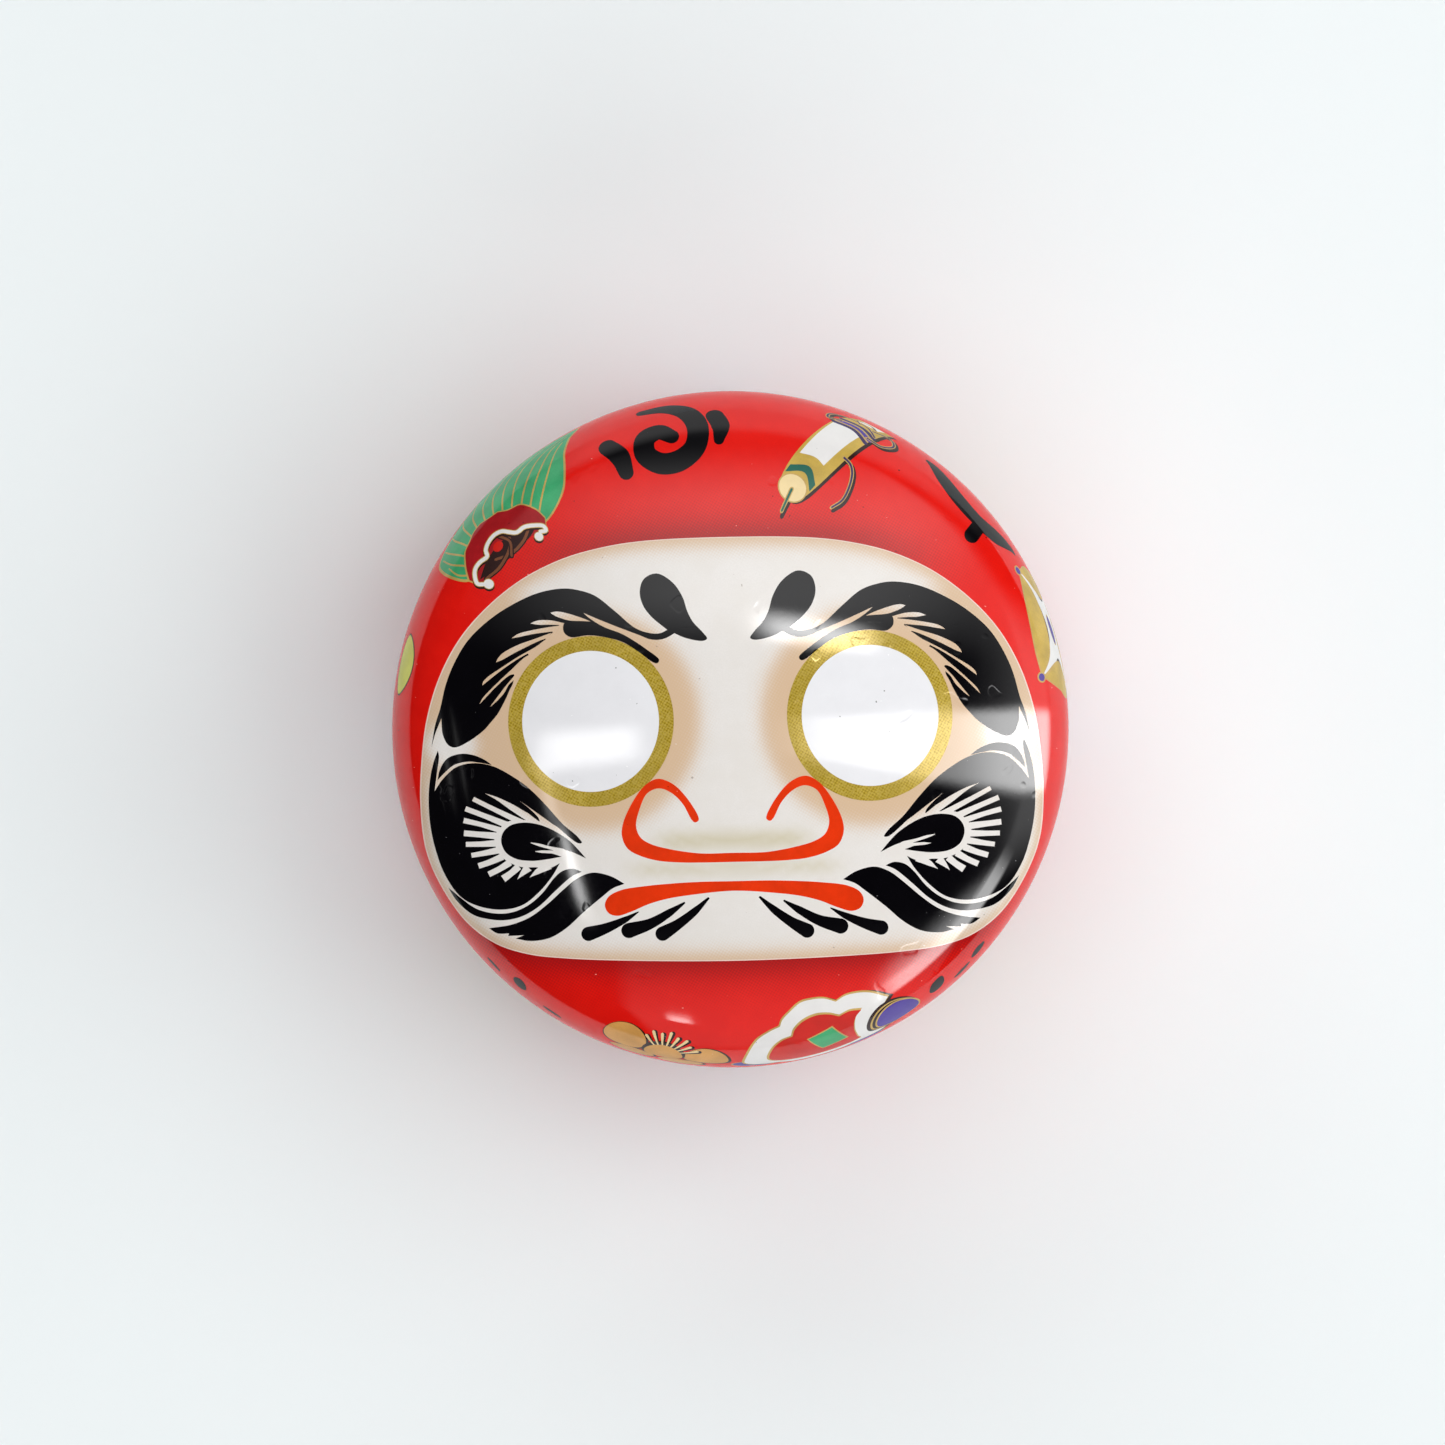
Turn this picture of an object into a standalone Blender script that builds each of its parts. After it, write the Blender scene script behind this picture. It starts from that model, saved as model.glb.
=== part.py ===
"""A round daruma tin that lies on its back: a domed lid with the face, a base to rest on, and a neck ring.

All three are turned shapes about the Z axis, pressed from thin tinplate. The base stands on a flat foot ring
at z = 0. Its mouth ends in a curl that holds the neck ring, and the lid slides over the ring until the curls
meet.
"""

import math

import bpy

# Driving dimensions, in metres and degrees
WIDEST_RADIUS = 0.0325
CROWN_RADIUS = 0.0715
SHOULDER_RADIUS = 0.0062
WALL_RADIUS = 0.080
WALL_LEAN = 9.0
SHEET = 0.0003
CURL_RADIUS = 0.0007
CURL_TURN = 270.0
SEAM_GAP = 0.0003
FOOT_OUTER_RADIUS = 0.020
FOOT_INNER_RADIUS = 0.0172
FOOT_BEND = 0.0008
PANEL_RISE = 0.0008
RUNNING_GAP = 0.0003
NECK_ABOVE_SEAM = 0.0062
NECK_BELOW_SEAM = 0.0070
NECK_HEM_RADIUS = 0.0004
NECK_SKIRT_RADIUS = 0.0315
GRIP_BEAD_HEIGHT = 0.0001
GRIP_BEAD_HALF_WIDTH = 0.0008

# How finely each curve is divided
TURN_STEPS = 48
CROWN_STEPS = 6
SHOULDER_STEPS = 6
WALL_STEPS = 3
CURL_STEPS = 6
HEM_STEPS = 3

# Colours, as red, green and blue
PRINTED_RED = (0.72, 0.02, 0.015)
TINPLATE_GREY = (0.62, 0.62, 0.60)


def clear_scene():
    for old in list(bpy.data.objects):
        bpy.data.objects.remove(old)


def arc(centre, radius, start, end, steps):
    """Points of an arc in the X-Z plane, from angle start to end, measured in degrees from +Z towards +X."""
    points = []
    for i in range(steps + 1):
        angle = math.radians(start + (end - start) * i / steps)
        points.append((centre[0] + radius * math.sin(angle), centre[1] + radius * math.cos(angle)))
    return points


def joined(*stretches):
    """One outline from several stretches, with each shared end point kept once."""
    outline = list(stretches[0])
    for stretch in stretches[1:]:
        first = stretch[0]
        outline += stretch[1:] if math.dist(outline[-1], first) < 1e-9 else stretch
    return outline


def dome():
    """The outer skin from the pole to the widest circle, at z = 0: crown, shoulder and leaning wall."""
    lean = math.radians(WALL_LEAN)
    wall_height = WALL_RADIUS * math.sin(lean)
    wall_top_radius = WIDEST_RADIUS - WALL_RADIUS * (1 - math.cos(lean))
    blend = (wall_top_radius - SHOULDER_RADIUS * math.cos(lean)) / (CROWN_RADIUS - SHOULDER_RADIUS)
    crown_end = math.degrees(math.asin(blend))
    shoulder_centre = (
        wall_top_radius - SHOULDER_RADIUS * math.cos(lean),
        wall_height - SHOULDER_RADIUS * math.sin(lean),
    )
    reach = CROWN_RADIUS - SHOULDER_RADIUS
    crown_centre = (0.0, shoulder_centre[1] - reach * math.cos(math.radians(crown_end)))
    wall_centre = (WIDEST_RADIUS - WALL_RADIUS, 0.0)
    return joined(
        arc(crown_centre, CROWN_RADIUS, 0.0, crown_end, CROWN_STEPS),
        arc(shoulder_centre, SHOULDER_RADIUS, crown_end, 90 - WALL_LEAN, SHOULDER_STEPS),
        arc(wall_centre, WALL_RADIUS, 90 - WALL_LEAN, 90.0, WALL_STEPS),
    )


def curl():
    """The inward curl at a rim whose outer skin arrives at the widest circle heading down, at z = 0."""
    return arc((WIDEST_RADIUS - CURL_RADIUS, 0.0), CURL_RADIUS, 90.0, 90.0 + CURL_TURN, CURL_STEPS)


def crown_drop(radius):
    """How far the crown has fallen below its pole at this radius."""
    return CROWN_RADIUS - math.sqrt(CROWN_RADIUS**2 - radius**2)


def lid_profile():
    """Pole, dome, wall and curl of the lid, with the bottom of its curl at z = 0."""
    outline = joined(dome(), curl())
    return [(x, z + CURL_RADIUS) for x, z in outline]


def base_profile():
    """Curl, wall, dome and foot of the base, with the foot at z = 0 and the panel inside it raised."""
    outline = joined(dome(), curl())
    widest_height = outline[0][1] - crown_drop(FOOT_OUTER_RADIUS)
    skin = [(x, widest_height - z) for x, z in reversed(outline) if x > FOOT_OUTER_RADIUS + FOOT_BEND]
    foot = [
        (FOOT_OUTER_RADIUS, 0.0),
        (FOOT_INNER_RADIUS, 0.0),
        (FOOT_INNER_RADIUS - FOOT_BEND, PANEL_RISE),
        (0.0, PANEL_RISE),
    ]
    return skin + foot


def neck_profile():
    """The neck ring's outer side, top to bottom, with the seam's middle at z = 0."""
    neck_radius = WIDEST_RADIUS - 2 * CURL_RADIUS - RUNNING_GAP
    hem_top = NECK_ABOVE_SEAM - NECK_HEM_RADIUS
    hem = arc((neck_radius - NECK_HEM_RADIUS, hem_top), NECK_HEM_RADIUS, -90.0, 90.0, HEM_STEPS)
    hem_end = (hem[0][0], hem_top - NECK_HEM_RADIUS)
    bead_middle = NECK_ABOVE_SEAM / 2
    bead = [
        (neck_radius, bead_middle + GRIP_BEAD_HALF_WIDTH),
        (neck_radius + GRIP_BEAD_HEIGHT, bead_middle),
        (neck_radius, bead_middle - GRIP_BEAD_HALF_WIDTH),
    ]
    ledge = -(SEAM_GAP / 2 + 2 * CURL_RADIUS + RUNNING_GAP)
    skirt = [
        (neck_radius, ledge),
        (NECK_SKIRT_RADIUS, ledge - (NECK_SKIRT_RADIUS - neck_radius)),
        (NECK_SKIRT_RADIUS, -NECK_BELOW_SEAM),
    ]
    return [hem_end] + hem + bead + skirt


def turned_sheet(name, profile, height, colour, roughness, metallic, collection):
    """A pressed sheet-metal piece: the profile of its outer skin turned about Z, thickened inwards."""
    mesh = bpy.data.meshes.new(name)
    points = [(x, 0.0, z) for x, z in profile]
    edges = [(i, i + 1) for i in range(len(points) - 1)]
    mesh.from_pydata(points, edges, [])
    piece = bpy.data.objects.new(name, mesh)
    piece.location = (0.0, 0.0, height)
    collection.objects.link(piece)
    turn = piece.modifiers.new("turn", "SCREW")
    turn.axis = "Z"
    turn.steps = TURN_STEPS
    turn.render_steps = TURN_STEPS
    turn.use_merge_vertices = True
    turn.merge_threshold = 0.00001
    turn.use_smooth_shade = True
    sheet = piece.modifiers.new("sheet", "SOLIDIFY")
    sheet.thickness = SHEET
    sheet.offset = -1.0
    mesh.materials.append(finish(name + "_finish", colour, roughness, metallic))
    return piece


def finish(name, colour, roughness, metallic):
    material = bpy.data.materials.new(name)
    material.use_nodes = True
    shader = material.node_tree.nodes["Principled BSDF"]
    shader.inputs["Base Color"].default_value = (*colour, 1.0)
    shader.inputs["Roughness"].default_value = roughness
    shader.inputs["Metallic"].default_value = metallic
    return material


def main():
    clear_scene()
    collection = bpy.data.collections.new("daruma_tin")
    bpy.context.scene.collection.children.link(collection)
    base = base_profile()
    base_rim = max(z for x, z in base)
    seam_middle = base_rim + SEAM_GAP / 2
    turned_sheet("back_base", base, 0.0, PRINTED_RED, 0.25, 0.0, collection)
    turned_sheet("neck_ring", neck_profile(), seam_middle, TINPLATE_GREY, 0.35, 1.0, collection)
    turned_sheet("face_lid", lid_profile(), base_rim + SEAM_GAP, PRINTED_RED, 0.25, 0.0, collection)


main()
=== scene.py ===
import math

import bpy
import numpy as np
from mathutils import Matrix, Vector
from mathutils.geometry import delaunay_2d_cdt


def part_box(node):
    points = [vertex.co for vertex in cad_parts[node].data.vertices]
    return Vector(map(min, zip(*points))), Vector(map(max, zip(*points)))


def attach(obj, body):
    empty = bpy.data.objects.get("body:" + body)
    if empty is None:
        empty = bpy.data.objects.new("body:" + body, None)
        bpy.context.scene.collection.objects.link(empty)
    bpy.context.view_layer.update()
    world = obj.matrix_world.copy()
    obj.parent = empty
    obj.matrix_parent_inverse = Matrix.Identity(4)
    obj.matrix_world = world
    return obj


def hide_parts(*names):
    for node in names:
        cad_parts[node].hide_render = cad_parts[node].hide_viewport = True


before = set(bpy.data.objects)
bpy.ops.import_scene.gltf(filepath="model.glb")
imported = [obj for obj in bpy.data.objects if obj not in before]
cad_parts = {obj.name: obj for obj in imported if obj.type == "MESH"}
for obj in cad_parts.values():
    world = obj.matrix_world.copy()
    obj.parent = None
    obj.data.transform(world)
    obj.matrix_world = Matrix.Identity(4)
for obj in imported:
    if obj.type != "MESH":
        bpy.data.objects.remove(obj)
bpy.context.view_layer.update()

# ---- the tin's own dimensions, in millimetres
MM = 0.001
WIDEST = 32.5
CROWN = 71.5
SHOULDER = 6.2
WALL = 80.0
LEAN = math.radians(9.0)
SHEET = 0.3
CURL = 0.7
CURL_TURN = math.radians(270.0)
FOOT_OUTER = 20.0
FOOT_INNER = 17.2
FOOT_BEND = 0.8
PANEL_RISE = 0.8
FOOT_EASE = 0.7
NECK_RADIUS = 30.8
NECK_HEM = 0.4
NECK_SKIRT = 31.5
NECK_ABOVE = 6.2
NECK_BELOW = 7.0
BEAD_HEIGHT = 0.1
BEAD_HALF = 0.8
SEAM_GAP = 0.3

LID_LOW, LID_HIGH = (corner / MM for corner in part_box("face_lid"))
BASE_LOW, BASE_HIGH = (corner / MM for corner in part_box("back_base"))
SEAM_MIDDLE = (BASE_HIGH.z + LID_LOW.z) / 2

# The dome's three arcs: crown, shoulder and wall, as in the CAD part
WALL_TOP_RADIUS = WIDEST - WALL * (1 - math.cos(LEAN))
WALL_HEIGHT = WALL * math.sin(LEAN)
SHOULDER_X = WALL_TOP_RADIUS - SHOULDER * math.cos(LEAN)
SHOULDER_Z = WALL_HEIGHT - SHOULDER * math.sin(LEAN)
CROWN_END = math.asin(SHOULDER_X / (CROWN - SHOULDER))
CROWN_Z = SHOULDER_Z - (CROWN - SHOULDER) * math.cos(CROWN_END)
S_CROWN = CROWN * CROWN_END
S_SHOULDER = S_CROWN + SHOULDER * (math.pi / 2 - LEAN - CROWN_END)
S_RIM = S_SHOULDER + WALL * LEAN
ROLL = (WIDEST - CROWN * math.sin(CROWN_END)) / (1 - math.sin(CROWN_END))
FOOT_TILT = math.asin(FOOT_OUTER / CROWN)
FOOT_SHIFT = CROWN * FOOT_TILT - FOOT_OUTER
LID_WIDEST_Z = LID_HIGH.z - (CROWN_Z + CROWN)
BASE_WIDEST_Z = CROWN_Z + CROWN * math.cos(FOOT_TILT)

# How finely things are divided: parts of a turn, a curl, the hem and the bead, and lengths in millimetres
AROUND = 256
CURL_PARTS = 18
HEM_PARTS = 12
BEAD_PARTS = 8
RING_STEP = 0.8
SHOULDER_STEP = 0.45
OUTLINE_STEP = 0.22
CAP_STEP = 0.06
THINNEST_STROKE = 0.012
MERGE_WITHIN = 0.002
INSIDE_POLE_RING = 0.5
FINE_BEFORE_SHOULDER = 2.5
FINE_PAST_SHOULDER = 1

# Every ink's top is at the CAD's skin. These are the depths of the ink's underside and of the printed sheet.
INK_DEPTH = 0.010
SHEET_DEPTH = 0.013


# ---- skins: arc length from the pole to a place in space
def dome(s):
    """Radius, height over the widest circle and shaded tilt of the skin, at arc lengths s from the pole.

    The shape keeps to the three arcs. Past the crown the shaded tilt rolls over evenly to the widest circle.
    """
    s = np.asarray(s, float)
    parts = [s < S_CROWN, s < S_SHOULDER]
    wall_tilt = math.pi / 2 - LEAN + (s - S_SHOULDER) / WALL
    tilt = np.select(parts, [s / CROWN, CROWN_END + (s - S_CROWN) / SHOULDER], wall_tilt)
    out, up = np.sin(tilt), np.cos(tilt)
    radius = np.select(parts, [CROWN * out, SHOULDER_X + SHOULDER * out], WIDEST - WALL + WALL * out)
    height = np.select(parts, [CROWN_Z + CROWN * up, SHOULDER_Z + SHOULDER * up], WALL * up)
    rolled = np.arcsin(np.clip((radius - WIDEST) / ROLL + 1, -1, 1))
    return radius, height, np.where(parts[0], tilt, rolled)


def lid_skin(s):
    radius, height, tilt = dome(s)
    return radius, LID_WIDEST_Z + height, np.sin(tilt), np.cos(tilt)


def base_skin(s):
    """The base's outer skin: a raised panel, a flat foot ring, and then the same dome upside down."""
    s = np.asarray(s, float)
    radius, height, tilt = dome(s + FOOT_SHIFT)
    on_foot = s < FOOT_OUTER
    bend = np.clip((s - FOOT_INNER + FOOT_BEND) / FOOT_BEND, 0, 1)
    rise = PANEL_RISE * (1 - bend * bend * (3 - 2 * bend))
    bend_tilt = -np.arctan(6 * bend * (1 - bend) * PANEL_RISE / FOOT_BEND)
    ease = np.clip((s - FOOT_OUTER) / FOOT_EASE, 0, 1)
    tilt = np.where(on_foot, bend_tilt, tilt * ease)
    radius = np.where(on_foot, s, radius)
    z = np.where(on_foot, rise, BASE_WIDEST_Z - height)
    return radius, z, np.sin(tilt), -np.cos(tilt)


S_BASE_RIM = S_RIM - FOOT_SHIFT


def on_skin(skin, flat, lift=0.0):
    """Points and normals in space of points in the flat print, which keeps arc lengths from the pole."""
    flat = np.asarray(flat, float)
    s = np.hypot(flat[:, 0], flat[:, 1])
    angle = np.arctan2(flat[:, 1], flat[:, 0])
    radius, z, out, up = skin(s)
    normal = np.stack([out * np.cos(angle), out * np.sin(angle), up], 1)
    place = np.stack([radius * np.cos(angle), radius * np.sin(angle), z], 1)
    return place + normal * lift, normal


# ---- drawing in the flat
def spline(points, closed):
    """A smooth line through the points. A point with a 1 after it is a corner."""
    places = [np.array(p[:2], float) for p in points]
    corner = [len(p) > 2 and p[2] == 1 for p in points]
    count = len(places)
    line = []
    for i in range(count if closed else count - 1):
        j = (i + 1) % count
        a, b = places[i], places[j]
        starts = corner[i] or (not closed and i == 0)
        ends = corner[j] or (not closed and i == count - 2)
        before = 2 * a - b if starts else places[i - 1]
        after = 2 * b - a if ends else places[(i + 2) % count]
        steps = max(1, math.ceil(np.linalg.norm(b - a) / OUTLINE_STEP))
        line += [between(before, a, b, after, k / steps) for k in range(steps)]
    if not closed:
        line.append(places[-1])
    return line


def between(p0, p1, p2, p3, share):
    """A point from p1 to p2 on the centripetal spline through four points."""
    t1 = max(np.linalg.norm(p1 - p0), 1e-6) ** 0.5
    t2 = t1 + max(np.linalg.norm(p2 - p1), 1e-6) ** 0.5
    t3 = t2 + max(np.linalg.norm(p3 - p2), 1e-6) ** 0.5
    t = t1 + (t2 - t1) * share
    a1 = p0 + (p1 - p0) * t / t1
    a2 = p1 + (p2 - p1) * (t - t1) / (t2 - t1)
    a3 = p2 + (p3 - p2) * (t - t2) / (t3 - t2)
    b1 = a1 + (a2 - a1) * t / t2
    b2 = a2 + (a3 - a2) * (t - t1) / (t3 - t1)
    return b1 + (b2 - b1) * (t - t1) / (t2 - t1)


def outline(points):
    return np.array(spline(points, True))


def resized(points, wide, high, shift=(0.0, 0.0), about=0.0):
    """Points scaled sideways, and upwards about a height, and then shifted. Corner marks stay."""
    return [(x * wide + shift[0], (y - about) * high + shift[1], *mark) for x, y, *mark in points]


def lengths(points):
    """How far along a chain each of its points is."""
    return np.concatenate([[0], np.cumsum(np.linalg.norm(np.diff(points, axis=0), axis=1))])


def along(points, share):
    """The point at a share of the way along a chain of points."""
    points = np.array(points, float)
    gone = lengths(points)
    return np.array([np.interp(share * gone[-1], gone, points[:, axis]) for axis in (0, 1)])


def stroke(points, blunt=False):
    """The outline of a brush stroke through points (x, y, half width), with round or blunt ends."""
    centre = np.array(spline([p[:2] for p in points], False))
    knots = np.array([p[:2] for p in points], float)
    gone = lengths(centre)
    at_knot = [gone[np.argmin(np.linalg.norm(centre - k, axis=1))] for k in knots]
    at_knot[-1] = gone[-1]
    half = np.maximum(np.interp(gone, at_knot, [p[2] for p in points]), THINNEST_STROKE)
    run = np.gradient(centre, axis=0)
    run /= np.linalg.norm(run, axis=1)[:, None]
    side = np.stack([-run[:, 1], run[:, 0]], 1) * half[:, None]
    caps = []
    for end, sign in ((-1, 1), (0, -1)):
        turns = 1 if blunt else max(1, int(half[end] / CAP_STEP))
        arc = []
        for k in range(1, turns):
            angle = math.pi / 2 - math.pi * k / turns
            forward = sign * run[end] * half[end] * math.cos(angle)
            arc.append(centre[end] + forward + sign * side[end] * math.sin(angle))
        caps.append(np.array(arc).reshape(-1, 2))
    return np.concatenate([centre + side, caps[0], (centre - side)[::-1], caps[1]])


def ring(x, y, radius, squash=1.0):
    """A circle, or an oval that is squashed upwards."""
    parts = max(12, int(2 * math.pi * radius / OUTLINE_STEP))
    angle = np.arange(parts) * 2 * math.pi / parts
    return np.stack([x + radius * np.cos(angle), y + radius * squash * np.sin(angle)], 1)


def from_plan(points):
    """Plan millimetres, as seen from straight above, to the flat print."""
    points = np.asarray(points, float)
    radius = np.hypot(points[:, 0], points[:, 1])
    table_s = np.linspace(0, S_RIM, 4000)
    s = np.interp(radius, dome(table_s)[0], table_s)
    return points * (s / np.maximum(radius, 1e-9))[:, None]


def patch(angle, s, turn=0.0, grow=1.0, flip=1.0, shift=(0.0, 0.0), skin=lid_skin):
    """A drawing board on a skin: x runs clockwise round the tin, seen from above, and y to the pole."""
    radius = float(skin([s])[0][0])
    c, d = math.cos(math.radians(turn)), math.sin(math.radians(turn))

    def lay(points):
        points = np.asarray(points, float) * [grow * flip, grow]
        x = points[:, 0] * c - points[:, 1] * d + shift[0]
        y = points[:, 0] * d + points[:, 1] * c + shift[1]
        around = math.radians(angle) - x / radius
        out = s - y
        return np.stack([out * np.cos(around), out * np.sin(around)], 1)

    return lay


class Print:
    """Layers of ink, each over the ones before it, as outlines in the flat."""

    def __init__(self):
        self.layers = []

    def put(self, ink, points, where=None):
        self.layers.append((ink, np.asarray(where(points) if where else points, float)))

    def both(self, ink, points):
        """The left side of the face, and its mirror image."""
        points = np.asarray(points, float)
        self.put(ink, points, from_plan)
        self.put(ink, points[::-1] * [-1, 1], from_plan)


# ---- the face, left side, in plan millimetres
PANEL = [
    (0, 17.9), (-7.8, 17.7), (-11.6, 17.2), (-15.4, 16.2), (-19.2, 14.4), (-22.6, 11.8), (-25.2, 8.9),
    (-27.1, 5.5), (-28.4, 1.5), (-29, -2.6), (-29.2, -6.6), (-28.8, -10.8), (-27.5, -14.1), (-25.1, -17.6),
    (-22.4, -19.6), (-19.4, -20.6), (-15.8, -21.05), (-10, -21.35), (0, -21.55),
]
TEARDROP = [
    (-5.1, 9.1), (-4, 8.6), (-2.4, 8.3), (-2, 8.5), (-2.4, 9.1), (-3.3, 10.1), (-3.8, 11.1), (-4.2, 12.4),
    (-5.1, 13.8), (-6.6, 14.7), (-7.8, 14.2), (-8.2, 13), (-7.9, 11.7), (-7.1, 10.6), (-5.7, 9.4, 1),
]
BROW = [
    (-15.4, 13.5), (-17.7, 13.15), (-20, 12.2), (-22.3, 10.8), (-24.4, 8.9), (-25.7, 6.9), (-26.6, 4.8),
    (-27.2, 2.5), (-27.7, 1), (-28.1, -1.1, 1), (-27.7, 0.2), (-27.1, 1.6, 1), (-27, 0.1), (-26.5, -0.9),
    (-25.9, -1.15), (-24.7, -0.7), (-23.1, 0.4), (-22.35, 1.2), (-21.75, 1.9), (-21.3, 2.65), (-20.9, 3.4),
    (-20.55, 4.15), (-20.25, 4.7), (-20.2, 4.9, 1), (-20.1, 5.45, 1), (-20.15, 5.6, 1), (-18.7, 7.35, 1),
    (-18.8, 7.5, 1), (-17.05, 8.8, 1), (-17.15, 8.9, 1), (-16.4, 9.4, 1), (-16.45, 9.5, 1), (-15.8, 10.05, 1),
    (-15.6, 10.1, 1), (-13.6, 11.2, 1), (-11.8, 10.4), (-9.9, 9.6), (-8.4, 9), (-7.3, 8.55), (-6.4, 8.5),
    (-5.7, 8.7), (-5, 9.1, 1), (-5.7, 9.4, 1), (-6.4, 9.1), (-7.4, 9.15), (-8.7, 9.65), (-10.6, 11.3),
    (-12.4, 12.75), (-13.9, 13.3),
]
COMMA = [
    (-15.4, 10.1), (-15.4, 9.5), (-15.1, 9.1), (-14.6, 8.9), (-13.2, 9.05), (-11.8, 8.9), (-9.9, 8.35),
    (-8.4, 7.4), (-7.1, 6.4), (-6.7, 6.3), (-6.5, 6.6), (-7.7, 7.65), (-9.9, 9.1), (-11.6, 9.8),
    (-13, 10.7), (-13.6, 11.25, 1), (-14.7, 10.7), (-15.2, 10.4),
]
BROW_CUTS = [
    [
        (-22.45, 2.6, 1), (-21.5, 3.8), (-20.95, 4.5), (-20.45, 5.05), (-20.1, 5.45, 1), (-20.15, 5.05, 1),
        (-20.65, 4.6), (-21.1, 3.85), (-21.6, 3.3), (-22.1, 2.85),
    ],
    [
        (-23.45, 2.85, 1), (-23.15, 3.4), (-21.9, 4.65), (-20.45, 5.95), (-19.15, 7.1), (-18.7, 7.35, 1),
        (-19.95, 5.65, 1), (-20.1, 5.6, 1), (-20.55, 5.5), (-21.9, 4.4), (-23.05, 3.25),
    ],
    [
        (-23.15, 4.6, 1), (-23.05, 4.95), (-22.6, 5.4), (-21.2, 6.3), (-19.65, 7.25), (-18.05, 8.1),
        (-17.2, 8.7, 1), (-18.6, 7.4, 1), (-18.8, 7.5, 1), (-19.65, 7.05), (-21.15, 6.1), (-22.5, 5.1),
    ],
    [
        (-21.8, 6.75, 1), (-21.65, 7.05), (-21.2, 7.55), (-19.75, 8.3), (-18.1, 8.85), (-16.5, 9.4, 1),
        (-17.1, 8.85, 1), (-17.7, 8.65), (-19.8, 7.7), (-21.35, 6.9),
    ],
    [
        (-20.3, 8.95, 1), (-19.95, 9.2), (-19.55, 9.4), (-17.25, 9.85), (-15.6, 10.05, 1), (-16.2, 9.5, 1),
        (-16.45, 9.5, 1), (-18.3, 9.3), (-19.65, 9.05),
    ],
    [
        (-18.5, 10.3, 1), (-17.85, 10.55), (-16.6, 10.55), (-15.35, 10.25, 1), (-15.6, 10, 1),
        (-15.85, 10.1, 1), (-17, 10.15), (-17.65, 10.15),
    ],
    [
        (-16.6, 11.25, 1), (-16.15, 11.35), (-15.55, 11.3), (-13.65, 10.7), (-12.85, 10.35, 1), (-13.6, 10.4),
        (-14.9, 10.5), (-15.55, 10.7), (-16.15, 10.95),
    ],
]
CHEEK = [
    (-27.5, -1.4, 1), (-27.9, -2.4), (-28.3, -4), (-28.5, -6), (-28.4, -8.5), (-27.9, -11), (-27.1, -13.2),
    (-25.7, -15.2), (-24, -16.1), (-21.75, -16.45), (-19.85, -16.05), (-18.25, -14.85), (-16.95, -13.35),
    (-16.1, -11.95, 1), (-17.4, -10.2), (-18, -8.25, 1), (-18.1, -7.9), (-19, -6.95), (-19.8, -6.3, 1),
    (-18.4, -7.3), (-16.2, -8.95), (-14.5, -10.3), (-14.1, -10.3), (-14.5, -9.7), (-15.9, -8.45),
    (-17.4, -6.7), (-18.95, -5.1), (-20.8, -3.75), (-22.5, -2.9), (-24.25, -2.65), (-25.8, -3),
    (-27.1, -4.1), (-27.9, -5.2, 1), (-27.6, -3.3), (-27.4, -1.9),
]
CHEEK_CAP = [
    (-27.6, -4.2, 1), (-27.35, -3.2), (-26.6, -2.15), (-25.3, -1.75), (-24.1, -1.9), (-23, -2.4),
    (-22.4, -2.85, 1), (-23.4, -2.65), (-24.7, -2.5), (-26, -2.8), (-26.9, -3.5),
]
CHEEK_LIGHT = [
    (-18, -8.2, 1), (-19.6, -8.05), (-20.9, -8.15), (-21.7, -8.7), (-22.2, -9.3), (-22.35, -10),
    (-22.2, -10.6), (-21.9, -11.2), (-21.3, -11.8), (-20.5, -12.25), (-19.6, -12.5), (-18.6, -12.5),
    (-17.2, -12.6), (-16.1, -12.1, 1), (-15.6, -11.3), (-14.8, -10.8), (-15.6, -9.5), (-16.8, -8.5),
]
CHEEK_RAYS = [
    [(-23.1, -5.5, 0), (-22, -6, 0.13), (-20.6, -6.85, 0.28), (-19.2, -7.75, 0.33), (-18, -8.4, 0.1)],
    [(-24.25, -6, 0.21), (-22.3, -7, 0.22), (-20.3, -8, 0.26), (-19.6, -8.35, 0.3)],
    [(-25, -6.9, 0.24), (-23.1, -7.65, 0.24), (-21.2, -8.45, 0.3), (-20.8, -8.6, 0.4)],
    [(-25.2, -8, 0.25), (-23.6, -8.4, 0.22), (-21.8, -8.95, 0.27)],
    [(-25.2, -9.2, 0.27), (-23.7, -9.35, 0.27), (-22.2, -9.5, 0.32)],
    [(-25.05, -10.25, 0.23), (-23.6, -10.25, 0.25), (-22.2, -10.2, 0.31)],
    [(-24.55, -11.3, 0.22), (-23.3, -11.1, 0.25), (-22, -10.85, 0.31)],
    [(-23.9, -12.3, 0.26), (-22.8, -11.95, 0.27), (-21.6, -11.45, 0.32)],
    [(-22.95, -13.1, 0.27), (-21.9, -12.6, 0.27), (-20.9, -12, 0.32)],
    [(-21.6, -13.55, 0.34), (-20.8, -13, 0.29), (-20.1, -12.4, 0.33)],
    [(-20.25, -13.6, 0), (-19.8, -13.1, 0.2), (-19.2, -12.5, 0.42)],
    [(-19.1, -13.45, 0), (-18.4, -12.95, 0.24), (-17.2, -12.3, 0.42)],
]
PUPIL = [
    (-21.7, -10), (-21.5, -9.2), (-20.8, -8.55), (-19.6, -8.3), (-18.1, -8.5), (-16.7, -9.1), (-15.3, -10.05),
    (-14.3, -11.1), (-13.75, -11.75, 1), (-15, -11.15), (-15.9, -10.85, 1), (-16.05, -11.55, 1),
    (-17.2, -11.75), (-18.8, -11.9), (-20.3, -11.7), (-21.3, -11.05),
]
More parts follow.
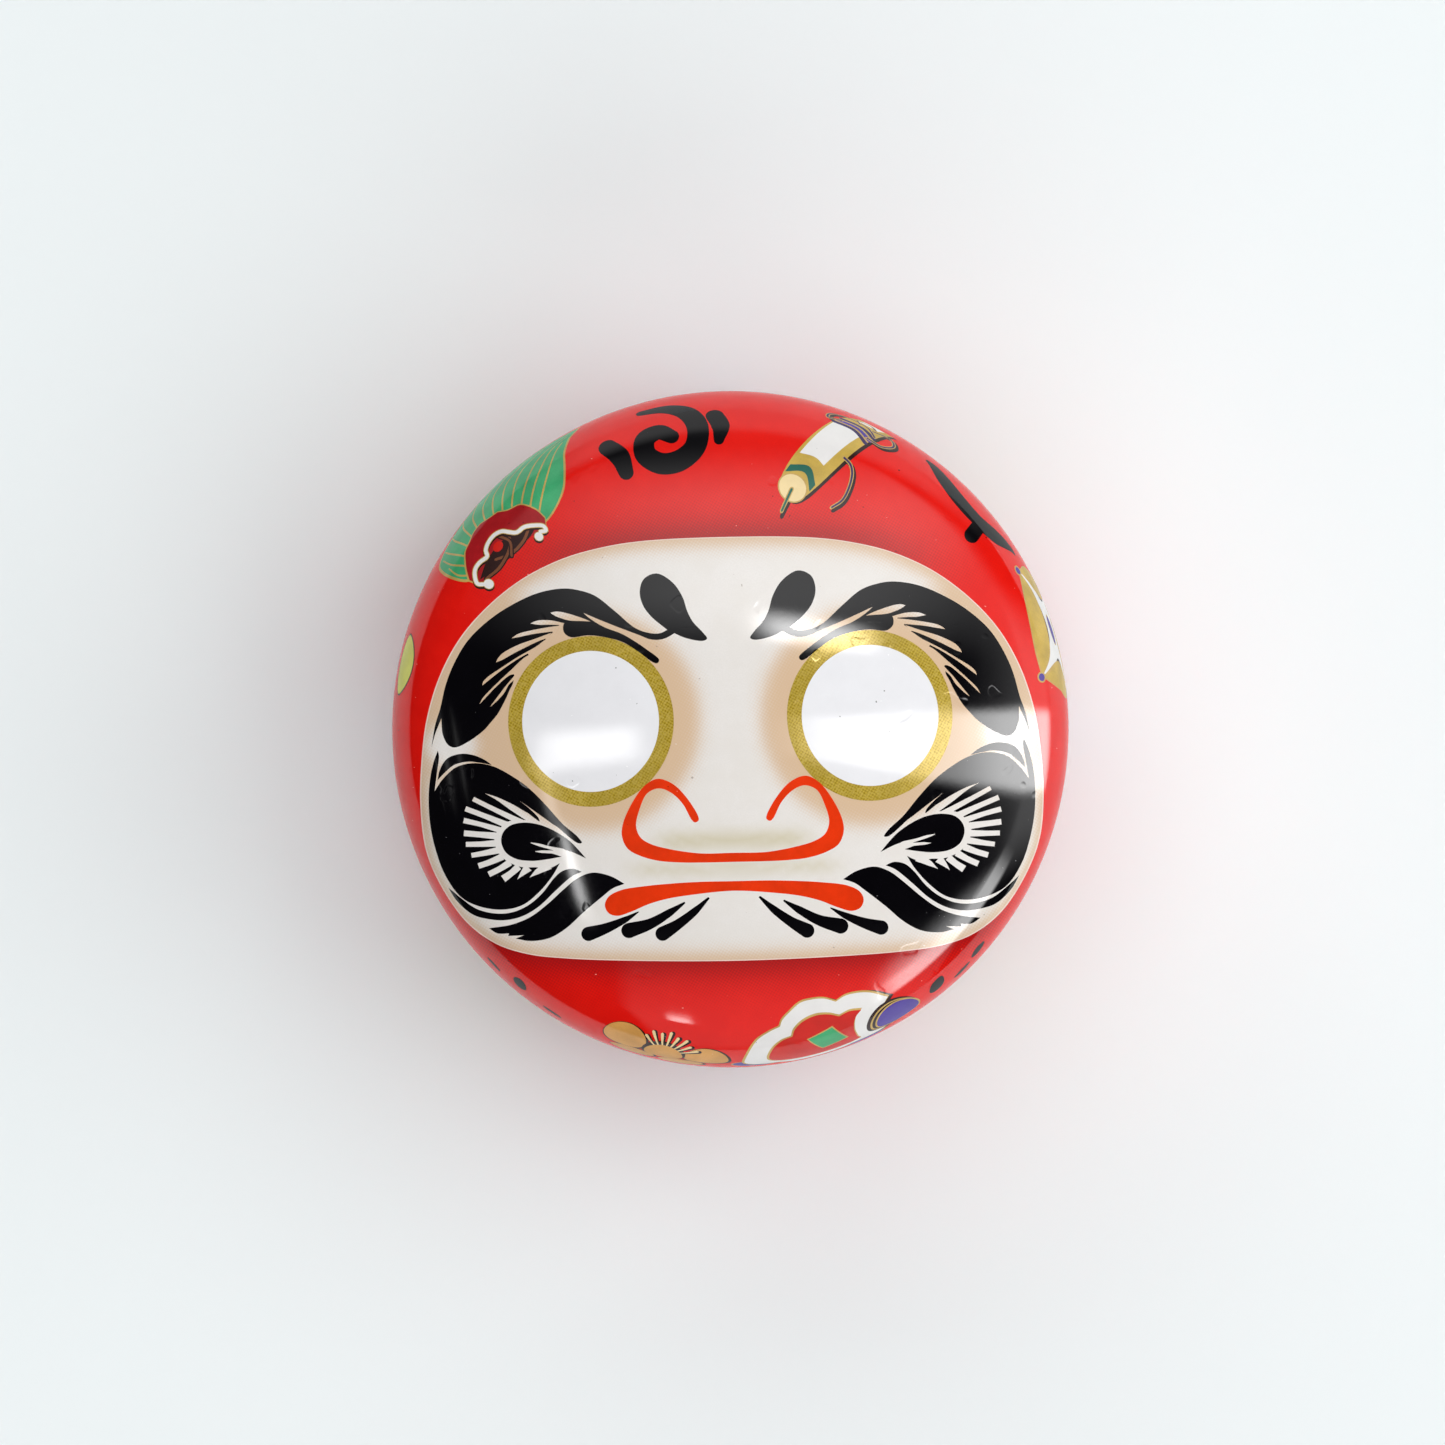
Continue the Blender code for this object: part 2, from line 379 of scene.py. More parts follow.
GLINTS = [
    [(-18.9, -10.2, 0.03), (-18.1, -10.42, 0.13), (-17.2, -10.68, 0.13), (-15.9, -11, 0.2)],
    [(-18.5, -11.02, 0.02), (-17.9, -11.05, 0.12), (-16.9, -11.1, 0.14), (-15.9, -11.2, 0.38)],
]
CRESCENT = [
    (-26.9, -14.3, 1), (-26.1, -15.6), (-24.6, -16.9), (-23, -17.35), (-21.5, -17.45), (-19.9, -17.1),
    (-18.3, -16.2), (-16.7, -14.75), (-15.1, -13.4), (-14.2, -13, 1), (-15, -12.7), (-16, -12.9),
    (-16.8, -13.55), (-17.95, -14.95), (-19.2, -16), (-20.8, -16.7), (-22.4, -16.8), (-24.2, -16.35),
    (-25.7, -15.3),
]
SWEEP = [
    (-10.2, -14.2, 1), (-11.5, -13.45), (-13.2, -13.1), (-14.6, -13.6), (-15.9, -14.6), (-17.5, -16),
    (-19.1, -17.15), (-20.85, -17.85), (-23.1, -18.2, 1), (-22.3, -18.7), (-21.2, -18.7, 1),
    (-21.3, -18.95, 1), (-19.8, -18.9, 1), (-20.6, -19.2, 1), (-19.2, -19.45), (-17.4, -19.2),
    (-15.8, -18.3), (-14.1, -16.8), (-12.3, -15.35), (-11.3, -14.6),
]
NOSE = [
    (0, -12.35), (-2.9, -12.35), (-4.95, -12.3), (-7, -12.1), (-8.7, -11.6), (-9.85, -10.9), (-10.35, -9.7),
    (-10.2, -8.5), (-9.3, -6.6), (-8.1, -5.05), (-6.9, -4.45), (-5.5, -4.95), (-4.2, -6.3), (-3.2, -8),
    (-3.15, -8.4), (-3.5, -8.6), (-3.8, -8.35), (-4.6, -6.85), (-5.7, -5.75), (-6.8, -5.35), (-7.9, -5.8),
    (-8.6, -7.15), (-9, -8.8), (-8.6, -9.9), (-7.6, -10.55), (-6.05, -11), (-4.5, -11.3), (-2.9, -11.5),
    (0, -11.5),
]
MOUTH = [
    (0, -14.15), (-3.1, -14.15), (-5.7, -14.25), (-8.3, -14.45), (-10.6, -14.8), (-11.75, -15.4),
    (-12.1, -16.15), (-11.8, -16.9), (-11, -17.2), (-9.7, -16.85), (-8, -16.15), (-6.1, -15.65),
    (-3.5, -15.3), (-1.3, -15.1), (0, -15.05),
]
WHISKERS = [
    [(-8.95, -16.85, 0.05), (-10.3, -17.6, 0.3), (-12.2, -18.4, 0.5), (-13.7, -18.85, 0.68)],
    [(-4.6, -16.05, 0.08), (-6, -16.95, 0.35), (-7.9, -18, 0.5), (-9.9, -18.6, 0.72)],
    [(-2.35, -15.65, 0.1), (-3.7, -16.9, 0.35), (-5.3, -18.1, 0.48), (-6.75, -18.95, 0.68)],
]
EYE_X = 13.1
EYE_Y = 1.03
EYE_RING = 7.9
EYE_DISC = 6.52
EYE_SQUASH = 1.016
PALE_EDGE = 1.0042


def eye_circle(side, radius):
    """A circle round the eye's middle, very slightly tall in the flat print."""
    middle = from_plan([(side * EYE_X, EYE_Y)])[0]
    return ring(middle[0], middle[1], radius, EYE_SQUASH)


def mirrored(points):
    """A half outline that starts and ends on the middle line, made whole."""
    half = list(points)
    other = [(-p[0], *p[1:]) for p in reversed(half) if abs(p[0]) > 1e-6]
    return outline(half + other)


def draw_face(art):
    panel = mirrored(PANEL)
    art.put("pale_line", panel * PALE_EDGE, from_plan)
    art.put("face_white", panel, from_plan)
    for side in (-1, 1):
        art.put("eye_gold", eye_circle(side, EYE_RING))
        art.put("eye_white", eye_circle(side, EYE_DISC))
    art.both("black", outline(TEARDROP))
    art.both("black", outline(BROW))
    art.both("black", outline(COMMA))
    for cut in BROW_CUTS:
        art.both("face_white", outline(cut))
    art.both("black", outline(CHEEK))
    art.both("black", outline(CHEEK_CAP))
    art.both("face_white", outline(CHEEK_LIGHT))
    for ray in CHEEK_RAYS:
        art.both("face_white", stroke(ray, blunt=True))
    art.both("black", outline(PUPIL))
    for glint in GLINTS:
        art.both("face_white", stroke(glint))
    art.both("black", outline(CRESCENT))
    art.both("black", outline(SWEEP))
    art.put("vermilion", mirrored(NOSE), from_plan)
    art.put("vermilion", mirrored(MOUTH), from_plan)
    for whisker in WHISKERS:
        art.both("black", stroke(whisker))


# ---- the lucky motifs, on drawing boards round the dome
FAN_RIBS = 13


def draw_fan(art):
    """A green leaf fan with gold ribs, a crimson scalloped heart and a white ruyi scroll."""
    lay = patch(129, 33.5)
    shaded = patch(129, 33.5, shift=(-0.16, 0.12))
    leaf = [
        (-11.4, 3.9), (-10.9, 4.6), (-8, 5.4), (-1.1, 6.9, 1), (0, 6.8), (1.7, 6.2), (3.2, 5.2), (4.4, 3.4),
        (5.1, 1.7), (5.9, 0.1), (6.8, -2.6), (7.6, -6, 1), (4, -7.4), (0, -8.3), (-4.5, -7.9), (-8.4, -6),
        (-10.7, -3), (-11.7, 1.2),
    ]
    art.put("gold_line", outline(leaf), lay)
    art.put("leaf_green", outline(resized(leaf, 0.972, 0.98, (-0.06, -0.03))), lay)
    crest = [(-10.9, 4.5), (-9.3, 2.8), (-6.6, 1.5), (-3.7, 2.3), (-1.6, 3.7), (-0.6, 6.3)]
    tips = [
        (-11.3, 2.6), (-11.2, 0), (-10.2, -3), (-8, -5.8), (-4.5, -7.6), (0, -8), (4, -7.1), (6.8, -5),
        (5.2, 0.4),
    ]
    for k in range(FAN_RIBS):
        share = (k + 0.5) / FAN_RIBS
        root, tip = along(crest, share), along(tips, share)
        bow = (root + tip) / 2 + np.array([0.35 * (share - 0.4), 0.3])
        art.put("gold_line", stroke([(*root, 0.1), (*bow, 0.09), (*(tip * 0.97), 0.06)]), lay)
    scallop = [
        (-0.6, 6.5, 1), (-0.7, 5.4), (-1, 4.6, 1), (-1.6, 3.7), (-2.9, 3.1), (-3.7, 2.3, 1), (-4.6, 2),
        (-5.6, 1.5, 1), (-6.6, 1.5), (-7.6, 1.9, 1), (-8.6, 2.2), (-9.3, 2.8, 1), (-10.1, 3.6),
        (-10.9, 4.5, 1), (-10.6, 5.6), (-9.6, 6), (-5, 6.2), (-1.4, 7.6, 1),
    ]
    art.put("gold_line", outline(resized(scallop, 1.03, 1.01, (0.15, -0.13))), lay)
    art.put("crimson", outline(scallop), lay)
    inside = [(-2, 6.5, 1), (-4.4, 5.2), (-7.8, 4.9), (-10.3, 5.4, 1), (-8, 6.4), (-5, 6.8), (-3, 6.8)]
    art.put("shadow", outline(inside), lay)
    art.put("bright_red", ring(-6.3, 5, 0.62, 0.75), lay)
    for cord in (
        [(-2.6, 6.1, 0.15), (-4, 6.6, 0.15), (-6, 6.5, 0.15), (-7.6, 5.6, 0.13)],
        [(-4.5, 5, 0.13), (-5.6, 6, 0.15), (-8, 6.4, 0.15), (-9.9, 5.9, 0.13)],
        [(-5.4, 4.4, 0.13), (-5.1, 5.6, 0.13), (-6.2, 6.7, 0.13)],
    ):
        art.put("shadow", stroke([(x, y, w + 0.14) for x, y, w in cord]), lay)
        art.put("bronze", stroke(cord), lay)
    ruyi = [
        (-2, 7.2), (-1.4, 7.5), (-1.3, 7), (-2, 6.3), (-2.9, 5.7), (-3.9, 5.5), (-4.4, 4.9, 1), (-4.8, 4.3),
        (-5.6, 3.9), (-6.6, 3.9), (-7.4, 4.2), (-7.8, 4.7, 1), (-8.8, 4.4), (-9.6, 4.4), (-10.3, 4.8),
        (-10.8, 5.4), (-10.5, 6),
    ]
    dots = ((-2.5, 7.45, 0.46), (-10.2, 6.4, 0.52))
    art.put("shadow", stroke([(x, y, 0.3) for x, y, *k in ruyi]), shaded)
    art.put("gold_line", stroke([(x, y, 0.27) for x, y, *k in ruyi]), lay)
    for x, y, r in dots:
        art.put("shadow", ring(x, y, r + 0.08), shaded)
        art.put("gold_line", ring(x, y, r + 0.07), lay)
    art.put("motif_white", stroke([(x, y, 0.19) for x, y, *k in ruyi]), lay)
    for x, y, r in dots:
        art.put("motif_white", ring(x, y, r), lay)


def draw_scroll(art):
    """A rolled scroll with a rod, a green band, a white cover and a tied purple cord, over its shadow."""
    lay = patch(71, 27.3, turn=204, flip=-1)
    shaded = patch(71, 27.3, turn=204, flip=-1, shift=(0.3, 0.22))
    body = outline([(-1.62, -3.7), (-0.8, -4.9), (0.8, -4.9), (1.62, -3.7), (1.68, 9.4, 1), (-1.68, 9.4, 1)])
    paper = outline([(-1.5, -3.7), (0, -4.7), (1.5, -3.7), (1.55, 9.3, 1), (-1.55, 9.3, 1)])
    band = [(-1.64, -3, 1), (0, -1.9), (1.64, -3, 1), (1.64, -2.1, 1), (0, -1.1), (-1.64, -2.1, 1)]
    cover = [(-1.64, -0.6, 1), (-0.2, 0), (0.9, -0.1, 1), (0.9, 4.9, 1), (-0.2, 5.1), (-1.64, 4.6, 1)]
    end = [(-1.1, 7.6, 1), (0.9, 7.8, 1), (0.9, 9.2, 1), (-1.1, 9.2, 1)]
    cords = (
        [
            (-1.4, 5.6, 0.19), (-2.4, 4.9, 0.19), (-2.7, 5.8, 0.19), (-1.9, 7, 0.19), (0, 7.2, 0.19),
            (1.6, 6.2, 0.19),
        ],
        [(-0.4, 6.9, 0.17), (-1.2, 8, 0.17), (-0.4, 8.6, 0.17), (0.8, 7.6, 0.17)],
        [(1.3, 5.4, 0.19), (2.7, 5.8, 0.19), (3.1, 7, 0.19), (2.1, 7.9, 0.19), (0.8, 7, 0.19)],
        [
            (1.6, 1.9, 0.2), (2.4, 1.9, 0.2), (3.2, 1.45, 0.2), (4.2, 0.1, 0.2), (4.7, -1.2, 0.2),
            (4.5, -2.5, 0.2),
        ],
    )
    art.put("shadow", body, shaded)
    art.put("shadow", stroke([(0, -4.2, 0.3), (0.5, -6.7, 0.24)]), shaded)
    for cord in cords:
        art.put("shadow", stroke(cord), shaded)
    art.put("gold_line", body, lay)
    art.put("motif_gold", paper, lay)
    art.put("dark_green", outline(band), lay)
    art.put("motif_white", outline(cover), lay)
    art.put("motif_white", outline(end), lay)
    art.put("gold_line", ring(0, -3.85, 1.66, 0.86), lay)
    art.put("cream", ring(0, -3.85, 1.52, 0.85), lay)
    art.put("gold_line", stroke([(0, -4, 0.24), (0.5, -6.4, 0.22)]), lay)
    art.put("dark_green", stroke([(0, -4, 0.13), (0.5, -6.35, 0.12)]), lay)
    bands = (("cord_dark", 0.2), ("gold_line", 0.1), ("purple", 0.22), ("gold_line", 0.1), ("cord_dark", 0.2))
    for k, (ink_name, half) in enumerate(bands):
        y = 4.9 + 0.3 * k
        art.put(ink_name, stroke([(-1.72, y - 0.2, half), (0, y + 0.3, half), (1.72, y - 0.2, half)]), lay)
    for cord in cords:
        art.put("gold_line", stroke([(x, y, w - 0.02) for x, y, w in cord]), lay)
        art.put("cord_dark", stroke([(x, y, w - 0.1) for x, y, w in cord]), lay)


# Generic black brush marks: a curl with two dabs, and a crescent with one. They are no letters.
BRUSH_CURL = (
    [
        (0.9, -0.3, 0.7), (-0.2, -1.1, 0.85), (-1.5, -0.7, 0.95), (-1.9, 0.8, 1.05), (-0.8, 2.1, 1.1),
        (1.1, 2.3, 1.1), (2.9, 1.2, 1.05), (3.4, -0.8, 1), (2.6, -2.8, 0.9), (0.9, -4.1, 0.75),
        (-1.2, -4.5, 0.5),
    ],
    [(-5, -1.3, 0.85), (-4.3, 0.2, 0.95), (-4.3, 1.9, 0.75)],
    [(5.3, 0.6, 0.5), (5.5, -0.8, 0.85), (5, -2.1, 0.8)],
)
BRUSH_CRESCENT = (
    [
        (-4.9, -2.6, 0.85), (-3.3, -1.2, 1.05), (-1, -0.3, 1.0), (1.6, -0.2, 0.9), (3.8, -1.1, 1.1),
        (5.6, -3.2, 0.7),
    ],
    [(2, 0, 0.7), (2.35, 1.9, 0.78)],
)


def draw_strokes(art, strokes, lay):
    for line in strokes:
        art.put("black", stroke(line), lay)


def draw_gem(art, lay):
    """Interlocked circles: four gold lens petals between studs, round a white star with a purple middle."""
    petal = [(-5.5, 5.5, 1), (-3, 6.2), (0, 6.4), (3, 6.2), (5.5, 5.5, 1), (3, 3.8), (0, 3.2), (-3, 3.8)]
    star = [
        (5.3, 5.3, 1), (0, 2.9), (-5.3, 5.3, 1), (-2.9, 0), (-5.3, -5.3, 1), (0, -2.9), (5.3, -5.3, 1),
        (2.9, 0),
    ]
    art.put("shadow", outline(resized(star, 1.09, 1.09)), lay)
    art.put("motif_white", outline(star), lay)
    for k in range(4):
        c, d = math.cos(math.radians(90 * k)), math.sin(math.radians(90 * k))
        turned = [(x * c - y * d, x * d + y * c, *m) for x, y, *m in petal]
        mx, my = -4.8 * d, 4.8 * c
        smaller = [(mx + (x - mx) * 0.94, my + (y - my) * 0.9, *m) for x, y, *m in turned]
        art.put("gold_line", outline(turned), lay)
        art.put("motif_gold", outline(smaller), lay)
    studs = [(0, 0, 1.55, 1.4)] + [(x, y, 0.56, 0.4) for x in (-5.5, 5.5) for y in (-5.5, 5.5)]
    for x, y, outer, inner in studs:
        art.put("gold_line", ring(x, y, outer), lay)
        art.put("purple", ring(x, y, inner), lay)


def draw_plum(art, lay):
    """A tan plum flower seen from its side: four petals round the middle, and a fan of fine stamens above."""
    for angle in (-163, 2, 65, 135):
        x, y = 4.1 * math.cos(math.radians(angle)), 4.1 * math.sin(math.radians(angle))
        art.put("shadow", ring(x + 0.1, y + 0.1, 2.3), lay)
        art.put("petal_tan", ring(x, y, 2.12), lay)
    art.put("shadow", ring(0, -0.1, 2.1), lay)
    for k in range(8):
        turn = math.radians(-128 + 15 * k)
        c, d = math.cos(turn), math.sin(turn)
        reach = 3.5 if k % 2 else 3.2
        art.put("shadow", stroke([(1.2 * c, 1.2 * d, 0.1), (reach * c + 0.16, reach * d + 0.05, 0.27)]), lay)
        art.put("cream", stroke([(1.2 * c, 1.2 * d, 0.05), (reach * c, reach * d, 0.16)]), lay)
    art.put("petal_tan", ring(0, 0.25, 1.85), lay)


def lobes(count, reach, bump, phase):
    """An outline of round lobes that meet in cusps."""
    points = []
    for k in range(count):
        for j, swell in ((0, 0.0), (0.25, 0.75), (0.5, 1.0), (0.75, 0.75)):
            turn = 2 * math.pi * (k + j) / count + phase
            r = reach + bump * swell
            points.append((r * math.cos(turn), r * math.sin(turn), 1 if j == 0 else 0))
    return points


def draw_cloud(art, lay):
    """A white cloud with a gold edge, a red heart and a small green key inside it."""
    white = [
        (-7.6, 4.4), (-7.2, 1.6), (-6.3, -0.2), (-5.1, -1), (-4, -1.4, 1), (-3.7, -2), (-2.8, -2.7),
        (-1.5, -3.4), (-0.2, -3.4), (1, -3.1), (2, -2.4, 1), (3.1, -2.6), (4.5, -2.3), (5.6, -1.7),
        (6.8, -0.4, 1), (5.7, 0.4), (4.6, 1.2), (4.2, 2.6, 1), (5.4, 4.4), (4.6, 6.6), (2.2, 7.2, 1),
        (0.4, 8.6), (-3, 8.6), (-4.6, 7, 1), (-6.8, 6.6),
    ]
    red = [
        (-5.4, 3.2), (-4.9, 1.2), (-4, 0.3), (-3, 0, 1), (-2.7, -0.7), (-1.8, -1.4), (-0.4, -1.7),
        (0.9, -1.4), (1.8, -0.8, 1), (2.9, -0.9), (4, -0.5, 1), (3.2, 0.1), (2.7, 1.4), (2.7, 3.4, 1),
        (2.8, 5), (1, 6.2), (-2.6, 6.4), (-4.6, 5.2),
    ]
    key = [(0.8, 0.2, 1), (-1.6, 0.9, 1), (-0.5, 3.3, 1), (1.8, 2.6, 1)]
    art.put("shadow", outline(resized(white, 1.05, 1.04, (0.25, 0.1))), lay)
    art.put("gold_line", outline(resized(white, 1.03, 1.03, (0.0, 1.97), 2)), lay)
    art.put("motif_white", outline(white), lay)
    art.put("gold_line", outline(resized(red, 1.04, 1.05, (0.0, 1.95), 2)), lay)
    art.put("bright_red", outline(red), lay)
    art.put("gold_line", outline(resized(key, 1.1, 1.12, (0.0, 1.7), 1.7)), lay)
    art.put("leaf_green", outline(key), lay)


def put_discs(art, discs):
    """Round spots, each an ink, a radius, and the angle and arc length of its middle."""
    for ink_name, radius, angle, s in discs:
        art.put(ink_name, ring(0, 0, radius), patch(angle, s))


def draw_motifs(art):
    draw_strokes(art, BRUSH_CURL, patch(102, 28.5))
    draw_fan(art)
    draw_scroll(art)
    draw_strokes(art, BRUSH_CRESCENT, patch(42, 31.9))
    draw_gem(art, patch(16, 37.3, turn=11.5))
    draw_plum(art, patch(-103, 33.5, turn=180))
    put_discs(art, (
        ("gold_line", 2.3, -87, 36.4), ("purple", 2.15, -87, 36.4),
        ("gold_line", 2.3, -68, 37.6), ("purple", 2.15, -68, 37.6),
    ))
    draw_cloud(art, patch(-74, 30.5, turn=180))
    put_discs(art, (
        ("shadow", 2.8, -61.6, 33.3), ("gold_line", 2.6, -61.3, 33.4), ("shadow", 2.45, -61.2, 33.4),
        ("gold_line", 2.42, -60.7, 33.5), ("purple", 2.25, -60.7, 33.5),
        ("shadow", 3, 167.5, 35), ("gem_yellow", 2.85, 167.5, 35),
    ))
    dab = outline([(-1.1, -0.5), (-0.6, 0.5), (0.5, 0.7), (1.1, 0.2), (0.9, -0.5), (-0.2, -0.8)])
    for angle, s, turn, grow in (
        (-130.7, 33.6, 60, 1), (-136.3, 35, 20, 0.9), (-123.4, 35.6, 10, 1),
        (-52.4, 33.1, -70, 1.1), (-47.4, 35.4, -60, 1.1), (-43, 33.8, -40, 0.9),
    ):
        art.put("black", dab, patch(angle, s, turn=turn, grow=grow))


def draw_back(art):
    """The back isn't seen: a generic plum flower on its panel, and plums and discs round its wall."""
    art.put("motif_gold", ring(0, 0, 15.6))
    art.put("back_red", ring(0, 0, 15.1))
    for k in range(5):
        turn = math.radians(90 + 72 * k)
        x, y = 6.2 * math.cos(turn), 6.2 * math.sin(turn)
        art.put("motif_gold", ring(x, y, 4.0))
        art.put("petal_tan", ring(x, y, 3.75))
    art.put("petal_deep", ring(0, 0, 3.2))
    for k in range(15):
        turn = math.radians(24 * k)
        c, d = math.cos(turn), math.sin(turn)
        art.put("cream", stroke([(1.2 * c, 1.2 * d, 0.14), (4.6 * c, 4.6 * d, 0.2)]))
        art.put("cream", ring(5 * c, 5 * d, 0.42))
    art.put("motif_gold", ring(0, 0, 1.1))
    for k in range(8):
        board = patch(45 * k, 33.5, grow=-1.0, skin=base_skin)
        if k % 2:
            draw_plum(art, board)
        else:
            art.put("gold_line", ring(0, 0, 3.2), board)
            art.put("purple", ring(0, 0, 3.0), board)
            art.put("motif_white", outline(lobes(5, 1.3, 0.8, 0.3)), board)


# ---- meshes
def grid_rings(rim):
    """Flat points on rings round the pole, and the ring at the rim, which comes last."""
    points = [(0.0, 0.0)]
    s = 0.0
    while True:
        on_lid = s + (S_RIM - rim)
        fine = S_CROWN - FINE_BEFORE_SHOULDER < on_lid < S_SHOULDER + FINE_PAST_SHOULDER
        s += SHOULDER_STEP if fine else RING_STEP
        if s > rim - 0.5 * RING_STEP:
            break
        count = min(AROUND, max(8, int(2 * math.pi * s / RING_STEP)))
        start = 0.5 * (len(points) % 2)
        for k in range(count):
            angle = 2 * math.pi * (k + start) / count
            points.append((s * math.cos(angle), s * math.sin(angle)))
    for k in range(AROUND):
        angle = 2 * math.pi * k / AROUND
        points.append((rim * math.cos(angle), rim * math.sin(angle)))
    return points


def wound(points, polygon):
    """Whether each point is inside the outline, by its winding number."""
    low, high = polygon.min(0), polygon.max(0)
    near = np.where(((points >= low) & (points <= high)).all(1))[0]
    inside = np.zeros(len(points), bool)
    if len(near) == 0:
        return inside
    x, y = points[near, 0][:, None], points[near, 1][:, None]
    a, b = polygon, np.roll(polygon, -1, 0)
    left = (b[:, 0] - a[:, 0]) * (y - a[:, 1]) - (x - a[:, 0]) * (b[:, 1] - a[:, 1])
    up = (a[:, 1] <= y) & (b[:, 1] > y) & (left > 0)
    down = (a[:, 1] > y) & (b[:, 1] <= y) & (left < 0)
    inside[near] = (up.sum(1) - down.sum(1)) != 0
    return inside


def divided(art, rim):
    """One triangulation of the flat that keeps to every outline, and the ink of each triangle."""
    points = grid_rings(rim)
    edges = [(len(points) - AROUND + k, len(points) - AROUND + (k + 1) % AROUND) for k in range(AROUND)]
    for ink, polygon in art.layers:
        first = len(points)
        points += [tuple(p) for p in polygon]
        edges += [(first + k, first + (k + 1) % len(polygon)) for k in range(len(polygon))]
    flat, _, faces, _, _, _ = delaunay_2d_cdt([Vector(p) for p in points], edges, [], 0, MERGE_WITHIN, False)
    flat = np.array([tuple(p) for p in flat])
    faces = np.array([tuple(f) for f in faces if len(f) == 3])
    corner = flat[faces]
    area = np.cross(corner[:, 1] - corner[:, 0], corner[:, 2] - corner[:, 0])
    faces[area < 0] = faces[area < 0][:, ::-1]
    faces = faces[abs(area) > 1e-9]
    middle = flat[faces].mean(1)
    inks = np.full(len(faces), -1)
    names = []
    for ink, polygon in art.layers:
        if ink not in names:
            names.append(ink)
        inks[wound(middle, polygon)] = names.index(ink)
    return flat, faces, inks, names


def away_from(points, polygon):
    """Distance from each point to the outline."""
    a, b = polygon, np.roll(polygon, -1, 0)
    run = b - a
    best = np.full(len(points), 1e9)
    for k in range(len(polygon)):
        length = max(run[k] @ run[k], 1e-12)
        share = np.clip(((points - a[k]) @ run[k]) / length, 0, 1)
        best = np.minimum(best, np.linalg.norm(points - a[k] - share[:, None] * run[k], axis=1))
    return best


def placed(name, data):
    """A new object in the scene."""
    thing = bpy.data.objects.new(name, data)
    bpy.context.scene.collection.objects.link(thing)
    return thing


def new_piece(name, places, faces, normals, material, shade=None):
    """A mesh from millimetres, with its own normals at each face corner."""
    mesh = bpy.data.meshes.new(name)
    vertices = [tuple(p) for p in np.asarray(places) * MM]
    mesh.from_pydata(vertices, [], [tuple(int(i) for i in f) for f in faces])
    mesh.polygons.foreach_set("use_smooth", [True] * len(mesh.polygons))
    if shade is not None:
        layer = mesh.attributes.new("shade", "FLOAT_COLOR", "POINT")
        layer.data.foreach_set("color", np.asarray(shade, np.float32).ravel())
    mesh.normals_split_custom_set([tuple(n) for n in normals])
    mesh.materials.append(material)
    return placed(name, mesh)


def film(name, skin, flat, faces, material, shade):
    """A closed, very thin layer of ink over these faces of the flat print, laid on the skin."""
    used = np.unique(faces)
    index = np.full(len(flat), -1)
    index[used] = np.arange(len(used))
    faces = index[faces]
    if skin is base_skin:
        faces = faces[:, ::-1]
    top, normal = on_skin(skin, flat[used], 0.0)
    bottom, _ = on_skin(skin, flat[used], -INK_DEPTH)
    count = len(used)
    edges = {}
    for a, b, c in faces:
        for edge in ((a, b), (b, c), (c, a)):
            edges[edge] = edges.get(edge, 0) + 1
    border = [(a, b) for a, b in edges if (b, a) not in edges]
    all_faces = [tuple(f) for f in faces]
    loops = [normal[i] for f in faces for i in f]
    all_faces += [tuple(f[::-1] + count) for f in faces]
    loops += [-normal[i] for f in faces for i in f[::-1]]
    for a, b in border:
        side = np.cross(top[b] - top[a], normal[a])
        side /= max(np.linalg.norm(side), 1e-12)
        all_faces.append((b, a, a + count, b + count))
        loops += [side] * 4
    shades = np.concatenate([shade[used]] * 2)
    return new_piece(name, np.concatenate([top, bottom]), all_faces, loops, material, shades)


def lathe_rows(rows):
    """Rings of vertices round Z, from rows of (radius, height) and the normal there in the same plane."""
    angle = np.arange(AROUND) * 2 * math.pi / AROUND
    places = []
    outward = []
    for (radius, z), (out, up) in rows:
        places += [(radius * math.cos(a), radius * math.sin(a), z) for a in angle]
        outward += [(out * math.cos(a), out * math.sin(a), up) for a in angle]
    return places, outward


def row_faces(rows, first=0, closed=False):
    """Faces between rings of vertices, wound for rows that run down the outside of a turned piece."""
    faces = []
    for i in range(rows if closed else rows - 1):
        here = first + i * AROUND
        there = first + (i + 1) % rows * AROUND
        for k in range(AROUND):
            n = (k + 1) % AROUND
            faces.append((there + k, there + n, here + n, here + k))
    return faces


def curl_profile(widest_z, sign):
    """The rolled rim, outer side then back along the inner side, from just past the widest circle."""
    centre = WIDEST - CURL
    rows = []
    for k in range(1, CURL_PARTS + 1):
        turn = math.pi / 2 + CURL_TURN * k / CURL_PARTS
        out, up = math.sin(turn), math.cos(turn)
        rows.append(((centre + CURL * out, widest_z + sign * CURL * up), (out, sign * up)))
    for k in range(CURL_PARTS, 0, -1):
        turn = math.pi / 2 + CURL_TURN * k / CURL_PARTS
        out, up = math.sin(turn), math.cos(turn)
        inner = CURL - SHEET
        rows.append(((centre + inner * out, widest_z + sign * inner * up), (-out, -sign * up)))
    return rows


